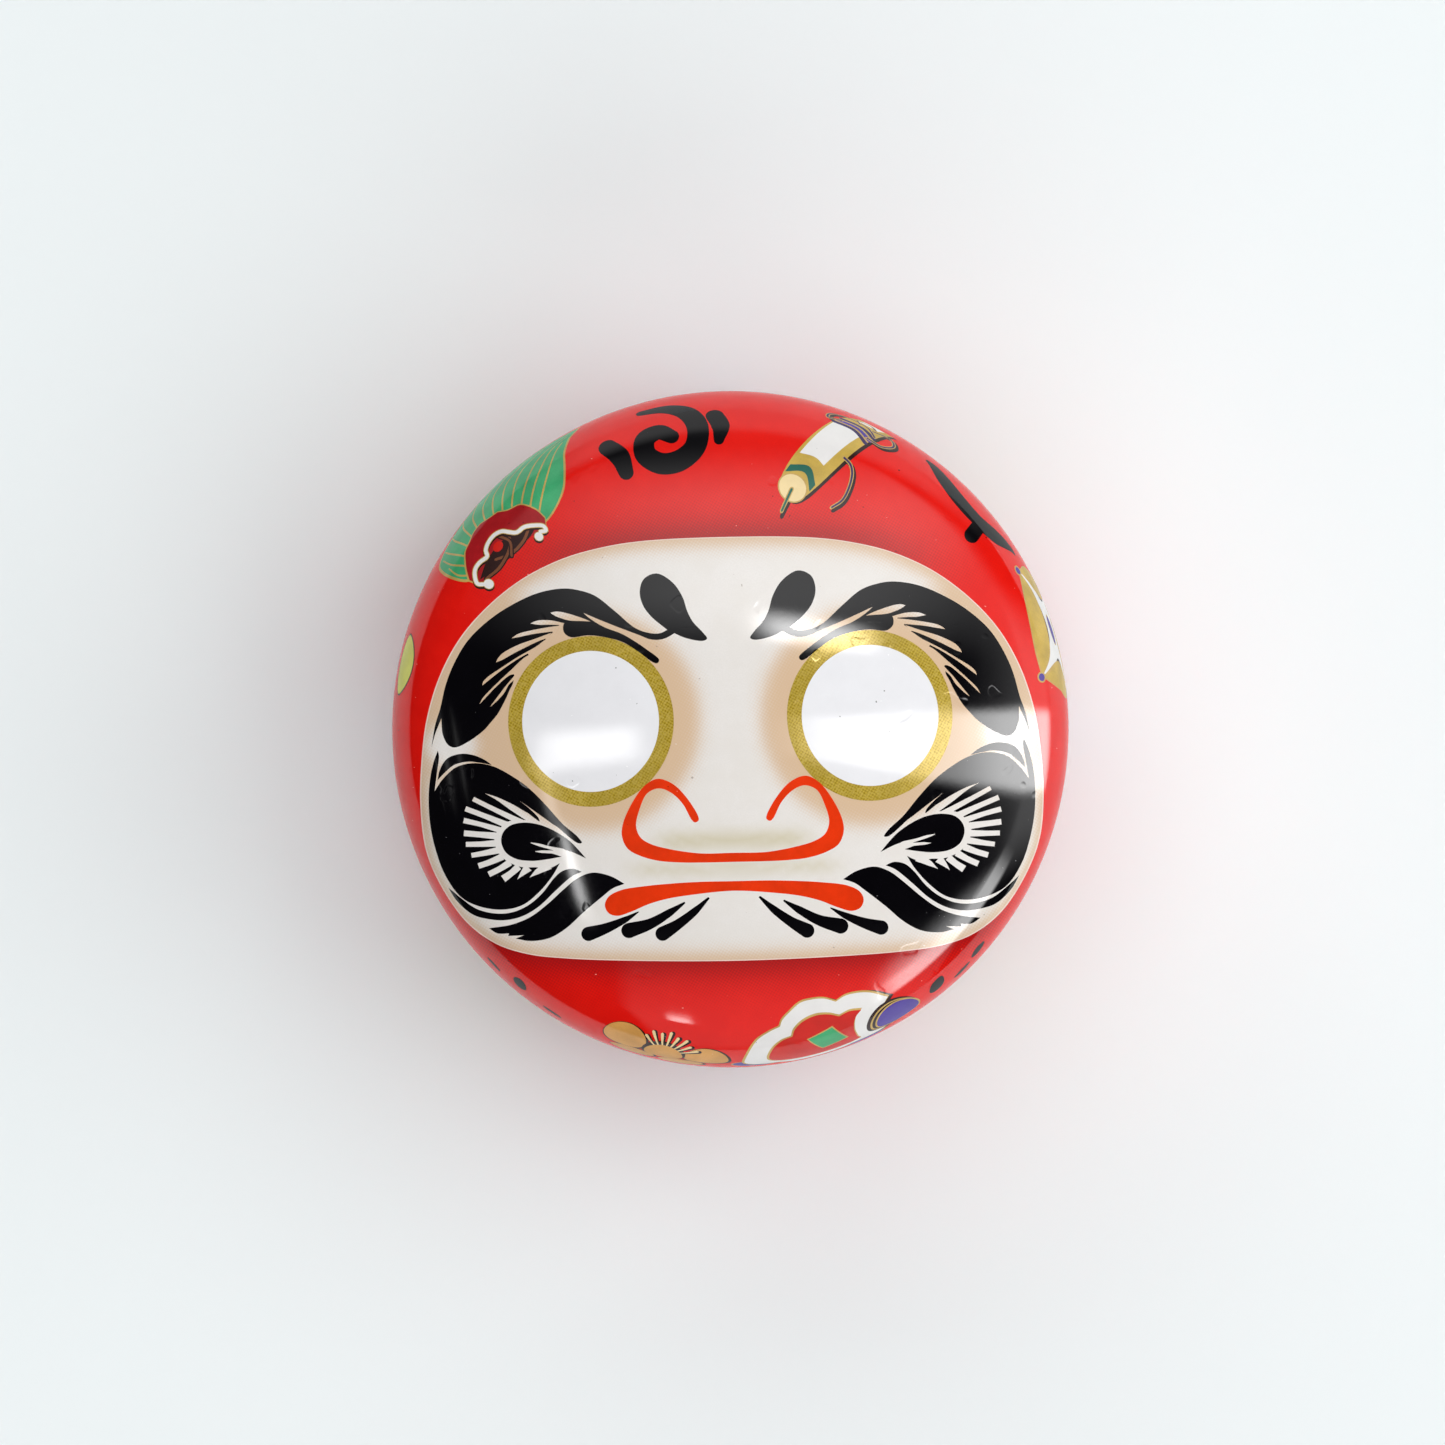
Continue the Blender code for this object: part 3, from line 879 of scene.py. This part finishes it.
def shell(name, skin, rim, widest_z, sign, flat, faces, material, shade):
    """A pressed shell: the printed outer skin, the rolled rim, and the bare inside."""
    outer, normal = on_skin(skin, flat, -SHEET_DEPTH)
    faces = faces if sign > 0 else faces[:, ::-1]
    rows = curl_profile(widest_z, sign)
    stations = [*np.arange(rim, INSIDE_POLE_RING, -RING_STEP), INSIDE_POLE_RING]
    for s in stations:
        radius, z, out, up = (float(v[0]) for v in skin([s]))
        rows.append(((radius - out * SHEET, z - up * SHEET), (-out, -up)))
    places, outward = lathe_rows(rows)
    angle = np.arctan2(flat[:, 1], flat[:, 0])
    on_rim = np.where(np.hypot(flat[:, 0], flat[:, 1]) > rim - 0.01)[0]
    order = {round((angle[i] % (2 * math.pi)) / (2 * math.pi) * AROUND) % AROUND: i for i in on_rim}
    rim_ids = [order[k] for k in range(AROUND)]
    count = len(outer)
    vertices = np.concatenate([outer, np.array(places), [[0, 0, float(skin([0.0])[1][0]) - sign * SHEET]]])
    normals = np.concatenate([normal, np.array(outward), [[0, 0, -sign]]])
    pole = len(vertices) - 1
    all_faces = [tuple(f) for f in faces]
    turns = [(k, (k + 1) % AROUND) for k in range(AROUND)]
    last = count + (len(rows) - 1) * AROUND
    walls = [(rim_ids[k], count + k, count + n, rim_ids[n]) for k, n in turns]
    walls += row_faces(len(rows), count)
    walls += [(last + n, last + k, pole) for k, n in turns]
    all_faces += walls if sign > 0 else [f[::-1] for f in walls]
    loops = [normals[i] for f in all_faces for i in f]
    shades = np.zeros((len(vertices), 4))
    shades[:, 3] = 1
    shades[:count, :3] = shade[:, :3]
    shades[:count, 2] = 1
    return new_piece(name, vertices, all_faces, loops, material, shades)


def neck_ring(material):
    """The bare collar: hemmed top edge, grip bead, and the skirt that the base's curl holds."""
    rows = []

    def row(radius, height, out, up):
        length = math.hypot(out, up)
        rows.append(((radius, SEAM_MIDDLE + height), (out / length, up / length)))

    hem_top = NECK_ABOVE - NECK_HEM
    for k in range(HEM_PARTS + 1):
        turn = math.radians(-90 + 180 * k / HEM_PARTS)
        out, up = math.sin(turn), math.cos(turn)
        row(NECK_RADIUS - NECK_HEM + NECK_HEM * out, hem_top + NECK_HEM * up, out, up)
    for k in range(BEAD_PARTS + 1):
        at = 1 - 2 * k / BEAD_PARTS
        bump = BEAD_HEIGHT * (1 + math.cos(math.pi * at)) / 2
        row(NECK_RADIUS + bump, NECK_ABOVE / 2 + BEAD_HALF * at, 1, 0.2 * math.sin(math.pi * at))
    ledge = -(SEAM_GAP / 2 + 2 * CURL + SEAM_GAP)
    skirt_top = ledge - (NECK_SKIRT - NECK_RADIUS)
    row(NECK_RADIUS, ledge, 1, 0.2)
    row(NECK_RADIUS + 0.1, ledge - 0.15, 1, 0.9)
    row(NECK_SKIRT - 0.1, skirt_top + 0.15, 1, 0.9)
    row(NECK_SKIRT, skirt_top, 1, 0.1)
    row(NECK_SKIRT, -NECK_BELOW, 1, 0)
    row(NECK_SKIRT - SHEET, -NECK_BELOW, -1, 0)
    row(NECK_SKIRT - SHEET, skirt_top, -1, -0.1)
    row(NECK_RADIUS - SHEET, ledge, -1, -0.3)
    row(NECK_RADIUS - SHEET, hem_top - NECK_HEM, -1, 0)
    row(NECK_RADIUS - 2 * NECK_HEM, hem_top - NECK_HEM, 0, -1)
    places, outward = lathe_rows(rows)
    faces = row_faces(len(rows), closed=True)
    loops = [outward[i] for f in faces for i in f]
    return new_piece("neck_ring_shell", places, faces, loops, material)


# ---- materials: all lengths in millimetres, and colours as screen colours, 0 to 255
SCREEN_PITCH = 0.255
SCREEN_TURN = math.radians(59.0)
VARNISH_ROUGH = 0.06
WAVE_DEPTH = 0.02
PEEL_DEPTH = 0.0006
DENT_DEPTH = 0.006
SCRATCH_DEPTH = 0.002
ROLLING_DEPTH = 0.003


class Nodes:
    """A material's node tree, built with few words."""

    def __init__(self, name):
        self.material = bpy.data.materials.new(name)
        self.material.use_nodes = True
        self.tree = self.material.node_tree
        self.shader = self.tree.nodes["Principled BSDF"]
        place = self.tree.nodes.new("ShaderNodeTexCoord")
        scale = self.tree.nodes.new("ShaderNodeVectorMath")
        scale.operation = "SCALE"
        scale.inputs["Scale"].default_value = 1 / MM
        self.tree.links.new(place.outputs["Object"], scale.inputs[0])
        self.place = scale.outputs[0]

    def link(self, output, socket):
        self.tree.links.new(output, socket)

    def fill(self, socket, value):
        if isinstance(value, bpy.types.NodeSocket):
            self.link(value, socket)
        else:
            socket.default_value = value

    def math(self, operation, a, b=0.0, clamp=False):
        node = self.tree.nodes.new("ShaderNodeMath")
        node.operation = operation
        node.use_clamp = clamp
        self.fill(node.inputs[0], a)
        self.fill(node.inputs[1], b)
        return node.outputs[0]

    def noise(self, scale, detail=3.0, rough=0.5, stretch=(1, 1, 1), turn=0.0):
        mapping = self.tree.nodes.new("ShaderNodeMapping")
        mapping.inputs["Scale"].default_value = stretch
        mapping.inputs["Rotation"].default_value = (0, 0, math.radians(turn))
        self.link(self.place, mapping.inputs["Vector"])
        node = self.tree.nodes.new("ShaderNodeTexNoise")
        node.inputs["Scale"].default_value = scale
        node.inputs["Detail"].default_value = detail
        node.inputs["Roughness"].default_value = rough
        self.link(mapping.outputs[0], node.inputs["Vector"])
        return node.outputs["Fac"]

    def ramp(self, value, low, high, to_low=0.0, to_high=1.0):
        node = self.tree.nodes.new("ShaderNodeMapRange")
        node.interpolation_type = "SMOOTHSTEP"
        node.inputs["From Min"].default_value = low
        node.inputs["From Max"].default_value = high
        node.inputs["To Min"].default_value = to_low
        node.inputs["To Max"].default_value = to_high
        self.fill(node.inputs["Value"], value)
        return node.outputs["Result"]

    def mix(self, amount, a, b):
        node = self.tree.nodes.new("ShaderNodeMix")
        node.data_type = "RGBA"
        self.fill(node.inputs[0], amount)
        for socket, colour in ((node.inputs[6], a), (node.inputs[7], b)):
            self.fill(socket, colour if isinstance(colour, bpy.types.NodeSocket) else (*colour, 1.0))
        return node.outputs[2]

    def clouds(self, scale):
        """Slow unevenness of the ink, from 0 to 1."""
        return self.ramp(self.noise(scale, 4.0, 0.6), 0.3, 0.7)

    def grain(self):
        """Fine unevenness of the ink, from 0 to a half."""
        return self.ramp(self.noise(7.0, 2.0, 0.6), 0.35, 0.65, 0.0, 0.5)

    def shade(self):
        """The computed airbrush amounts. On a shell, blue is 1 on the printed side and 0 on the bare one."""
        node = self.tree.nodes.new("ShaderNodeAttribute")
        node.attribute_name = "shade"
        split = self.tree.nodes.new("ShaderNodeSeparateColor")
        self.link(node.outputs["Color"], split.inputs[0])
        return split.outputs

    def screen(self):
        """The halftone screen: dots in rows, from 0 between dots to 1 in the middle of one."""
        mapping = self.tree.nodes.new("ShaderNodeMapping")
        mapping.vector_type = "TEXTURE"
        mapping.inputs["Rotation"].default_value = (0, 0, SCREEN_TURN)
        self.link(self.place, mapping.inputs["Vector"])
        split = self.tree.nodes.new("ShaderNodeSeparateXYZ")
        self.link(mapping.outputs[0], split.inputs[0])
        waves = []
        for axis in (0, 1):
            phase = self.math("MULTIPLY", split.outputs[axis], 2 * math.pi / SCREEN_PITCH)
            waves.append(self.math("COSINE", phase))
        return self.ramp(self.math("ADD", waves[0], waves[1]), -2.0, 2.0)

    def bump(self, height, strength, distance, chain=None):
        node = self.tree.nodes.new("ShaderNodeBump")
        node.inputs["Strength"].default_value = strength
        node.inputs["Distance"].default_value = distance * MM
        self.link(height, node.inputs["Height"])
        if chain is not None:
            self.link(chain, node.inputs["Normal"])
        return node.outputs["Normal"]

    def set(self, **values):
        for name, value in values.items():
            self.fill(self.shader.inputs[name.replace("_", " ")], value)


def linear(colour):
    """A screen colour, 0 to 255, as the linear values that the shader takes."""
    values = [c / 255 for c in colour]
    return tuple(v / 12.92 if v <= 0.04045 else ((v + 0.055) / 1.055) ** 2.4 for v in values)


def varnish(n, rough=VARNISH_ROUGH):
    """Gloss varnish over pressed tinplate: slow waves, fine orange peel, a few dents and hair scratches."""
    waves = n.bump(n.noise(0.11, 2.0), 1.0, WAVE_DEPTH)
    peel = n.bump(n.noise(1.9, 2.0), 1.0, PEEL_DEPTH, waves)
    dents = n.ramp(n.noise(0.55, 0.0), 0.2, 0.27, 1.0, 0.0)
    dented = n.bump(dents, 1.0, -DENT_DEPTH, peel)
    scratches = n.ramp(n.noise(1.3, 0.0, 0.5, (0.06, 3.0, 1.0), 35), 0.845, 0.87)
    scratched = n.bump(scratches, 0.5, -SCRATCH_DEPTH, dented)
    n.set(Normal=scratched, Roughness=rough, Specular_IOR_Level=0.5, IOR=1.5)
    n.set(Coat_Weight=0.1, Coat_Roughness=0.03)


def specks(n, colour, dark, light, amount=1.0):
    """Tiny pinholes and dust in the print."""
    pin = n.ramp(n.noise(2.6, 0.0), 0.115, 0.1, 0.0, amount)
    dust = n.ramp(n.noise(3.1, 0.0, 0.5, (1, 1.4, 1), 20), 0.888, 0.9, 0.0, amount)
    return n.mix(dust, n.mix(pin, colour, dark), light)


def plain_ink(name, colour, mottle, rough=VARNISH_ROUGH):
    """A flat ink, mottled where it lies thin or deep, with a faint halftone."""
    n = Nodes(name)
    full = linear(colour)
    thin = tuple(min(1, c * (1 + 2.2 * mottle) + 0.01 * mottle) for c in full)
    deep = tuple(c * (1 - 2.5 * mottle) for c in full)
    uneven = n.mix(n.grain(), n.mix(n.clouds(0.35), deep, thin), full)
    dotted = n.mix(n.math("MULTIPLY", n.screen(), mottle * 2.0), uneven, deep)
    n.set(Base_Color=specks(n, dotted, tuple(c * 0.3 for c in full), tuple(min(1, c + 0.15) for c in full)))
    varnish(n, rough)
    return n.material


def red_ink():
    """Transparent red over tinplate, darkened to crimson by airbrush dots, and gold lacquer inside."""
    n = Nodes("lacquer_red")
    shade = n.shade()
    red = n.mix(n.clouds(0.3), linear((225, 18, 10)), linear((233, 24, 14)))
    uneven = n.mix(n.grain(), red, linear((222, 22, 14)))
    wobble = n.math("MULTIPLY", n.math("SUBTRACT", n.screen(), 0.5), 0.35)
    dots = n.ramp(n.math("ADD", shade[0], wobble), 0.0, 1.0)
    crimson = n.math("MULTIPLY", dots, n.ramp(shade[0], 0.0, 0.1))
    shaded = n.mix(crimson, uneven, linear((160, 20, 22)))
    printed = specks(n, shaded, linear((90, 6, 8)), linear((238, 150, 140)))
    rolled = n.noise(1.2, 4.0, 0.6, (0.08, 6.0, 1.0))
    inside = n.mix(rolled, linear((196, 178, 128)), linear((222, 208, 160)))
    n.set(Base_Color=n.mix(shade[2], inside, printed), Metallic=n.math("SUBTRACT", 1.0, shade[2]))
    varnish(n)
    return n.material


def white_ink():
    """The face panel: warm white, with beige airbrush dots at its edge, round the eyes and by the nose."""
    n = Nodes("panel_white")
    shade = n.shade()
    white = n.mix(n.clouds(0.25), linear((231, 226, 220)), linear((235, 231, 227)))
    uneven = n.mix(n.grain(), white, linear((228, 224, 219)))
    wobble = n.math("MULTIPLY", n.math("SUBTRACT", n.screen(), 0.5), 0.22)
    dots = n.ramp(n.math("ADD", shade[1], wobble), 0.0, 1.0)
    beige = n.math("MULTIPLY", dots, n.ramp(shade[1], 0.0, 0.12))
    warm = n.mix(beige, uneven, linear((216, 186, 154)))
    olive = n.mix(n.math("MULTIPLY", shade[2], 0.75), warm, linear((204, 194, 160)))
    n.set(Base_Color=specks(n, olive, linear((150, 130, 118)), linear((244, 242, 240)), 0.6))
    varnish(n)
    return n.material


def gold_ring_ink():
    """Ochre bronze ink in a halftone screen with a coarse grain."""
    n = Nodes("eye_gold")
    dots = n.ramp(n.screen(), 0.25, 0.75)
    cells = n.mix(dots, linear((200, 172, 60)), linear((154, 127, 20)))
    flakes = n.mix(n.ramp(n.noise(4.2, 3.0, 0.75), 0.42, 0.62, 0.0, 0.8), cells, linear((206, 180, 84)))
    uneven = n.mix(n.ramp(n.noise(0.3, 3.0), 0.35, 0.65, 0.0, 0.3), flakes, linear((150, 128, 38)))
    n.set(Base_Color=specks(n, uneven, linear((110, 92, 30)), linear((224, 208, 130)), 0.5), Metallic=0.15)
    varnish(n, 0.12)
    return n.material


def tinplate():
    """Bare rolled tinplate: fine lines round the collar, and a soft stain or two."""
    n = Nodes("bare_tinplate")
    lines = n.noise(1.4, 4.0, 0.6, (0.05, 0.05, 9.0))
    metal = n.mix(lines, linear((168, 168, 164)), linear((214, 214, 210)))
    stain = n.mix(n.ramp(n.noise(0.2, 3.0), 0.45, 0.75, 0.0, 0.35), metal, linear((150, 142, 128)))
    n.set(Base_Color=stain, Metallic=1.0, Roughness=n.ramp(lines, 0.2, 0.8, 0.24, 0.38))
    n.set(Normal=n.bump(lines, 0.6, ROLLING_DEPTH))
    return n.material


# Each plain ink's colour and mottle, and its roughness where that isn't the varnish's own
INKS = {
    "pale_line": ((238, 214, 204), 0.03),
    "eye_white": ((236, 236, 239), 0.008, 0.05),
    "black": ((3, 2, 5), 0.05),
    "vermilion": ((228, 54, 12), 0.05),
    "gold_line": ((198, 164, 92), 0.09),
    "leaf_green": ((66, 168, 112), 0.07),
    "crimson": ((166, 26, 32), 0.08),
    "shadow": ((44, 20, 18), 0.05),
    "bright_red": ((206, 26, 14), 0.05),
    "bronze": ((120, 72, 46), 0.08),
    "motif_white": ((232, 230, 228), 0.015),
    "motif_gold": ((200, 168, 76), 0.08),
    "dark_green": ((24, 100, 84), 0.06),
    "cream": ((238, 214, 160), 0.03),
    "cord_dark": ((58, 44, 92), 0.06),
    "purple": ((78, 58, 152), 0.06),
    "gem_yellow": ((214, 212, 92), 0.05),
    "petal_tan": ((214, 156, 84), 0.06),
    "petal_deep": ((196, 120, 56), 0.06),
    "back_red": ((204, 22, 20), 0.04),
}
SPECIAL_INKS = {"face_white": white_ink, "eye_gold": gold_ring_ink}
made_inks = {}


def ink(name):
    """Each ink's material, made once."""
    if name not in made_inks:
        made_inks[name] = SPECIAL_INKS[name]() if name in SPECIAL_INKS else plain_ink(name, *INKS[name])
    return made_inks[name]


# ---- airbrush
def fading(value, edge, width):
    """1 well under the edge and 0 well over it."""
    return 1 / (1 + np.exp((value - edge) / width))


def lid_shades(flat):
    """Airbrush amounts on the lid, as a colour: crimson in red, beige in green and olive in blue.

    Crimson lies outside the face panel, over and under it. Beige lies inside it, along its edge, round the
    eyes and on the temples and cheeks. Olive lies in and under the nose.
    """
    distance = away_from(flat, from_plan(mirrored(PANEL)))
    s = np.hypot(flat[:, 0], flat[:, 1])
    plan = flat * (dome(s)[0] / np.maximum(s, 1e-9))[:, None]
    x, y = abs(plan[:, 0]), plan[:, 1]
    over_and_under = np.clip((abs(y + 1) - 13) / 6, 0, 1)
    crimson = np.exp(-((distance / 2.6) ** 1.3)) * over_and_under * 0.85
    beige = 0.85 * np.exp(-((distance / 1.25) ** 1.5))
    for side in (-1, 1):
        eye = from_plan([(side * EYE_X, EYE_Y)])[0]
        from_eye = np.hypot(flat[:, 0] - eye[0], flat[:, 1] - eye[1])
        beige = np.maximum(beige, fading(from_eye, 10.4, 0.55))
    cheek = np.hypot((x - 21.5) / 5.5, (y + 1) / 4.5)
    beige = np.maximum(beige, 0.95 * fading(cheek, 1, 0.12))
    temples = np.clip((x - 17) / 4, 0, 1) * np.clip((y + 8) / 6, 0, 1)
    beige = np.maximum(beige, 0.9 * temples)
    gap = np.hypot((x - 26.2) / 2.6, (y + 0.9) / 2.2)
    beige *= 1 - 0.95 * np.exp(-(gap**4))
    in_nose = np.exp(-(((y + 10.3) / 0.9) ** 2)) * np.clip((8.5 - x) / 3, 0, 1)
    under_nose = np.exp(-(((y + 12.9) / 0.7) ** 2)) * np.clip((11 - x) / 3, 0, 1)
    olive = np.maximum(in_nose, 0.7 * under_nose)
    return np.stack([crimson, beige, olive, np.ones(len(flat))], 1)


def no_shades(flat):
    return np.tile([0.0, 0.0, 0.0, 1.0], (len(flat), 1))


# ---- build
def build_half(node, art, skin, rim, widest_z, sign, body, shades, shell_material):
    """One printed shell and all its ink. The sign is 1 if its skin bulges up and -1 if it bulges down."""
    flat, faces, inks, names = divided(art, rim)
    shade = shades(flat)
    piece = shell(node + "_shell", skin, rim, widest_z, sign, flat, faces, shell_material, shade)
    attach(piece, body)
    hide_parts(node)
    for k, name in enumerate(names):
        chosen = faces[inks == k]
        if len(chosen) == 0:
            continue
        layer = film(f"{node}_ink_{name}", skin, flat, chosen, ink(name), shade)
        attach(layer, body)


lacquer = red_ink()
face_art = Print()
draw_motifs(face_art)
draw_face(face_art)
build_half("face_lid", face_art, lid_skin, S_RIM, LID_WIDEST_Z, 1, "lid", lid_shades, lacquer)

back_art = Print()
draw_back(back_art)
build_half("back_base", back_art, base_skin, S_BASE_RIM, BASE_WIDEST_Z, -1, "base",
           no_shades, lacquer)

collar = neck_ring(tinplate())
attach(collar, "base")
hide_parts("neck_ring")

# ---- stage, light and camera
FLOOR_HALF = 1.6
PAPER = (236, 243, 244)
floor_mesh = bpy.data.meshes.new("floor")
floor_corners = ((-1, -1), (1, -1), (1, 1), (-1, 1))
floor_mesh.from_pydata([(x * FLOOR_HALF, y * FLOOR_HALF, 0) for x, y in floor_corners], [], [(0, 1, 2, 3)])
floor = placed("floor", floor_mesh)
paper = Nodes("paper")
paper.set(Base_Color=(*linear(PAPER), 1.0), Roughness=0.9)
floor_mesh.materials.append(paper.material)


LIT = Vector((0, 0, 0.04))
CARD_DISTANCE = 1.5
CARD_STEP = 0.01
CARD_PARTS = 24

# The lights that don't show in the gloss: leans in x and y in degrees, distance, width, height and radiance
SOFTBOXES = {
    "key_right": (44, 4, 1.7, 1.7, 1.5, 2.2),
    "overhead": (-6, 2, 1.7, 1.6, 1.5, 1.5),
    "back_soft": (-8, 58, 1.7, 2.2, 1.2, 1.5),
    "front_soft": (12, -56, 1.7, 1.8, 1.2, 1.75),
}
# What the gloss reflects: the leans of four corners, radiance, and the shares of width and height that fade
CARDS = {
    "strip_left": ([(-34, 2), (-12, 2), (-12, -5.5), (-34, -8.5)], 6.0, (0.28, 0.38)),
    "strip_right": ([(6, 2), (92, 5), (90, -22), (6, -4)], 4.8, (0.16, 0.14)),
    "strip_far": ([(34, 2.5), (95, 5), (95, -22), (34, -9)], 6.0, (0.2, 0.12)),
    "glow_brow": ([(1, 21), (26, 16.5), (27, 10), (2, 13.5)], 16.5, (0.35, 0.5)),
    "haze_top": ([(-48, 12), (62, 8), (62, 48), (-50, 48)], 1.5, (0.45, 0.32)),
    "haze_rim": ([(-60, 46), (80, 42), (90, 108), (-70, 108)], 0.8, (0.25, 0.3)),
    "haze_right": ([(12, 22), (46, 18), (52, 42), (14, 46)], 0.6, (0.5, 0.5)),
    "wall_right": ([(38, 30), (100, 40), (100, -50), (38, -34)], 1.4, (0.3, 0.3)),
    "streak_high": ([(-32.8, -2), (-29.4, -2), (-26.6, -18), (-30, -18)], 3.5, (0.5, 0.4)),
    "streak_low": ([(-29.6, -13), (-27, -13), (-22, -32), (-25.2, -32)], 11.0, (0.5, 0.3)),
    "front_wall": ([(-19, -30), (50, -30), (60, -100), (-24, -100)], 0.5, (0.03, 0.3)),
    "front_band": ([(20, -42), (46, -20), (66, -30), (32, -70)], 9.0, (0.22, 0.25)),
    "blinds": ([(-52.4, 8), (-51.4, 8), (-48, -14), (-49, -14)], 1.6, (0.5, 0.4)),
    "blinds_near": ([(-49, 8), (-48.2, 8), (-45, -14), (-45.8, -14)], 1.4, (0.5, 0.4)),
    "blinds_far": ([(-46.4, 6), (-45.8, 6), (-42.6, -13), (-43.2, -13)], 1.1, (0.5, 0.4)),
    "spark": ([(-12, -46), (-7, -47), (-7, -51), (-12, -50)], 10.0, (0.3, 0.4)),
}


def toward(lean_x, lean_y, distance):
    """The place at a distance from the tin in the direction that leans so many degrees from straight up."""
    lean = math.radians(math.hypot(lean_x, lean_y))
    turn = math.atan2(lean_y, lean_x)
    way = Vector((math.sin(lean) * math.cos(turn), math.sin(lean) * math.sin(turn), math.cos(lean)))
    return LIT + way * distance


def softbox(name, lean_x, lean_y, distance, wide, high, radiance):
    """A large rectangular area light that faces the tin and isn't seen in the gloss."""
    light = bpy.data.lights.new(name, "AREA")
    light.shape = "RECTANGLE"
    light.size = wide
    light.size_y = high
    light.energy = radiance * math.pi * wide * high
    lamp = placed(name, light)
    lamp.location = toward(lean_x, lean_y, distance)
    lamp.rotation_euler = (LIT - lamp.location).to_track_quat("-Z", "Y").to_euler()
    lamp.visible_glossy = False


def glow_material(name, radiance):
    """Light added to whatever lies behind, as strong as the mesh's glow says."""
    material = bpy.data.materials.new(name)
    material.use_nodes = True
    tree = material.node_tree
    tree.nodes.clear()
    level = tree.nodes.new("ShaderNodeAttribute")
    level.attribute_name = "glow"
    power = tree.nodes.new("ShaderNodeMath")
    power.operation = "MULTIPLY"
    power.inputs[1].default_value = radiance
    glowing = tree.nodes.new("ShaderNodeEmission")
    clear = tree.nodes.new("ShaderNodeBsdfTransparent")
    both = tree.nodes.new("ShaderNodeAddShader")
    out = tree.nodes.new("ShaderNodeOutputMaterial")
    tree.links.new(level.outputs["Fac"], power.inputs[0])
    tree.links.new(power.outputs[0], glowing.inputs["Strength"])
    tree.links.new(glowing.outputs[0], both.inputs[0])
    tree.links.new(clear.outputs[0], both.inputs[1])
    tree.links.new(both.outputs[0], out.inputs["Surface"])
    return material


def card(name, distance, corners, radiance, soft):
    """A clear glowing card with soft edges that is only seen reflected."""
    c = [np.array(p, float) for p in corners]
    points = []
    glow = []
    for i in range(CARD_PARTS + 1):
        for j in range(CARD_PARTS + 1):
            u, v = i / CARD_PARTS, j / CARD_PARTS
            lean = c[0] * (1 - u) * (1 - v) + c[1] * u * (1 - v) + c[2] * u * v + c[3] * (1 - u) * v
            points.append(tuple(toward(*lean, distance)))
            level = 1.0
            for share, edge in ((u, soft[0]), (v, soft[1])):
                near = min(1.0, min(share, 1 - share) / edge)
                level *= near * near * (3 - 2 * near)
            glow.append(level)
    row = CARD_PARTS + 1
    starts = [i * row + j for i in range(CARD_PARTS) for j in range(CARD_PARTS)]
    mesh = bpy.data.meshes.new(name)
    mesh.from_pydata(points, [], [(k, k + 1, k + row + 1, k + row) for k in starts])
    mesh.attributes.new("glow", "FLOAT", "POINT").data.foreach_set("value", glow)
    mesh.materials.append(glow_material(name, radiance))
    piece = placed(name, mesh)
    piece.visible_diffuse = False
    piece.visible_shadow = False
    piece.visible_camera = False


for light_name, settings in SOFTBOXES.items():
    softbox(light_name, *settings)
for order, (card_name, settings) in enumerate(CARDS.items()):
    card("card_" + card_name, CARD_DISTANCE + CARD_STEP * order, *settings)

WORLD_COLOUR = (0.95, 0.96, 1.0, 1)
WORLD_STRENGTH = 0.03
world = bpy.data.worlds.new("studio")
world.use_nodes = True
background = world.node_tree.nodes["Background"]
background.inputs["Color"].default_value = WORLD_COLOUR
background.inputs["Strength"].default_value = WORLD_STRENGTH
bpy.context.scene.world = world
bpy.context.scene.view_settings.view_transform = "Standard"

CAMERA_PLACE = (-0.00074, 0.00066, 0.7)
CAMERA_ROLL = math.radians(-1.23)
LENS = 175.5
SENSOR = 36.0
camera_data = bpy.data.cameras.new("camera")
camera_data.lens = LENS
camera_data.sensor_width = SENSOR
camera = placed("camera", camera_data)
camera.location = CAMERA_PLACE
camera.rotation_euler = (0, 0, CAMERA_ROLL)
bpy.context.scene.camera = camera
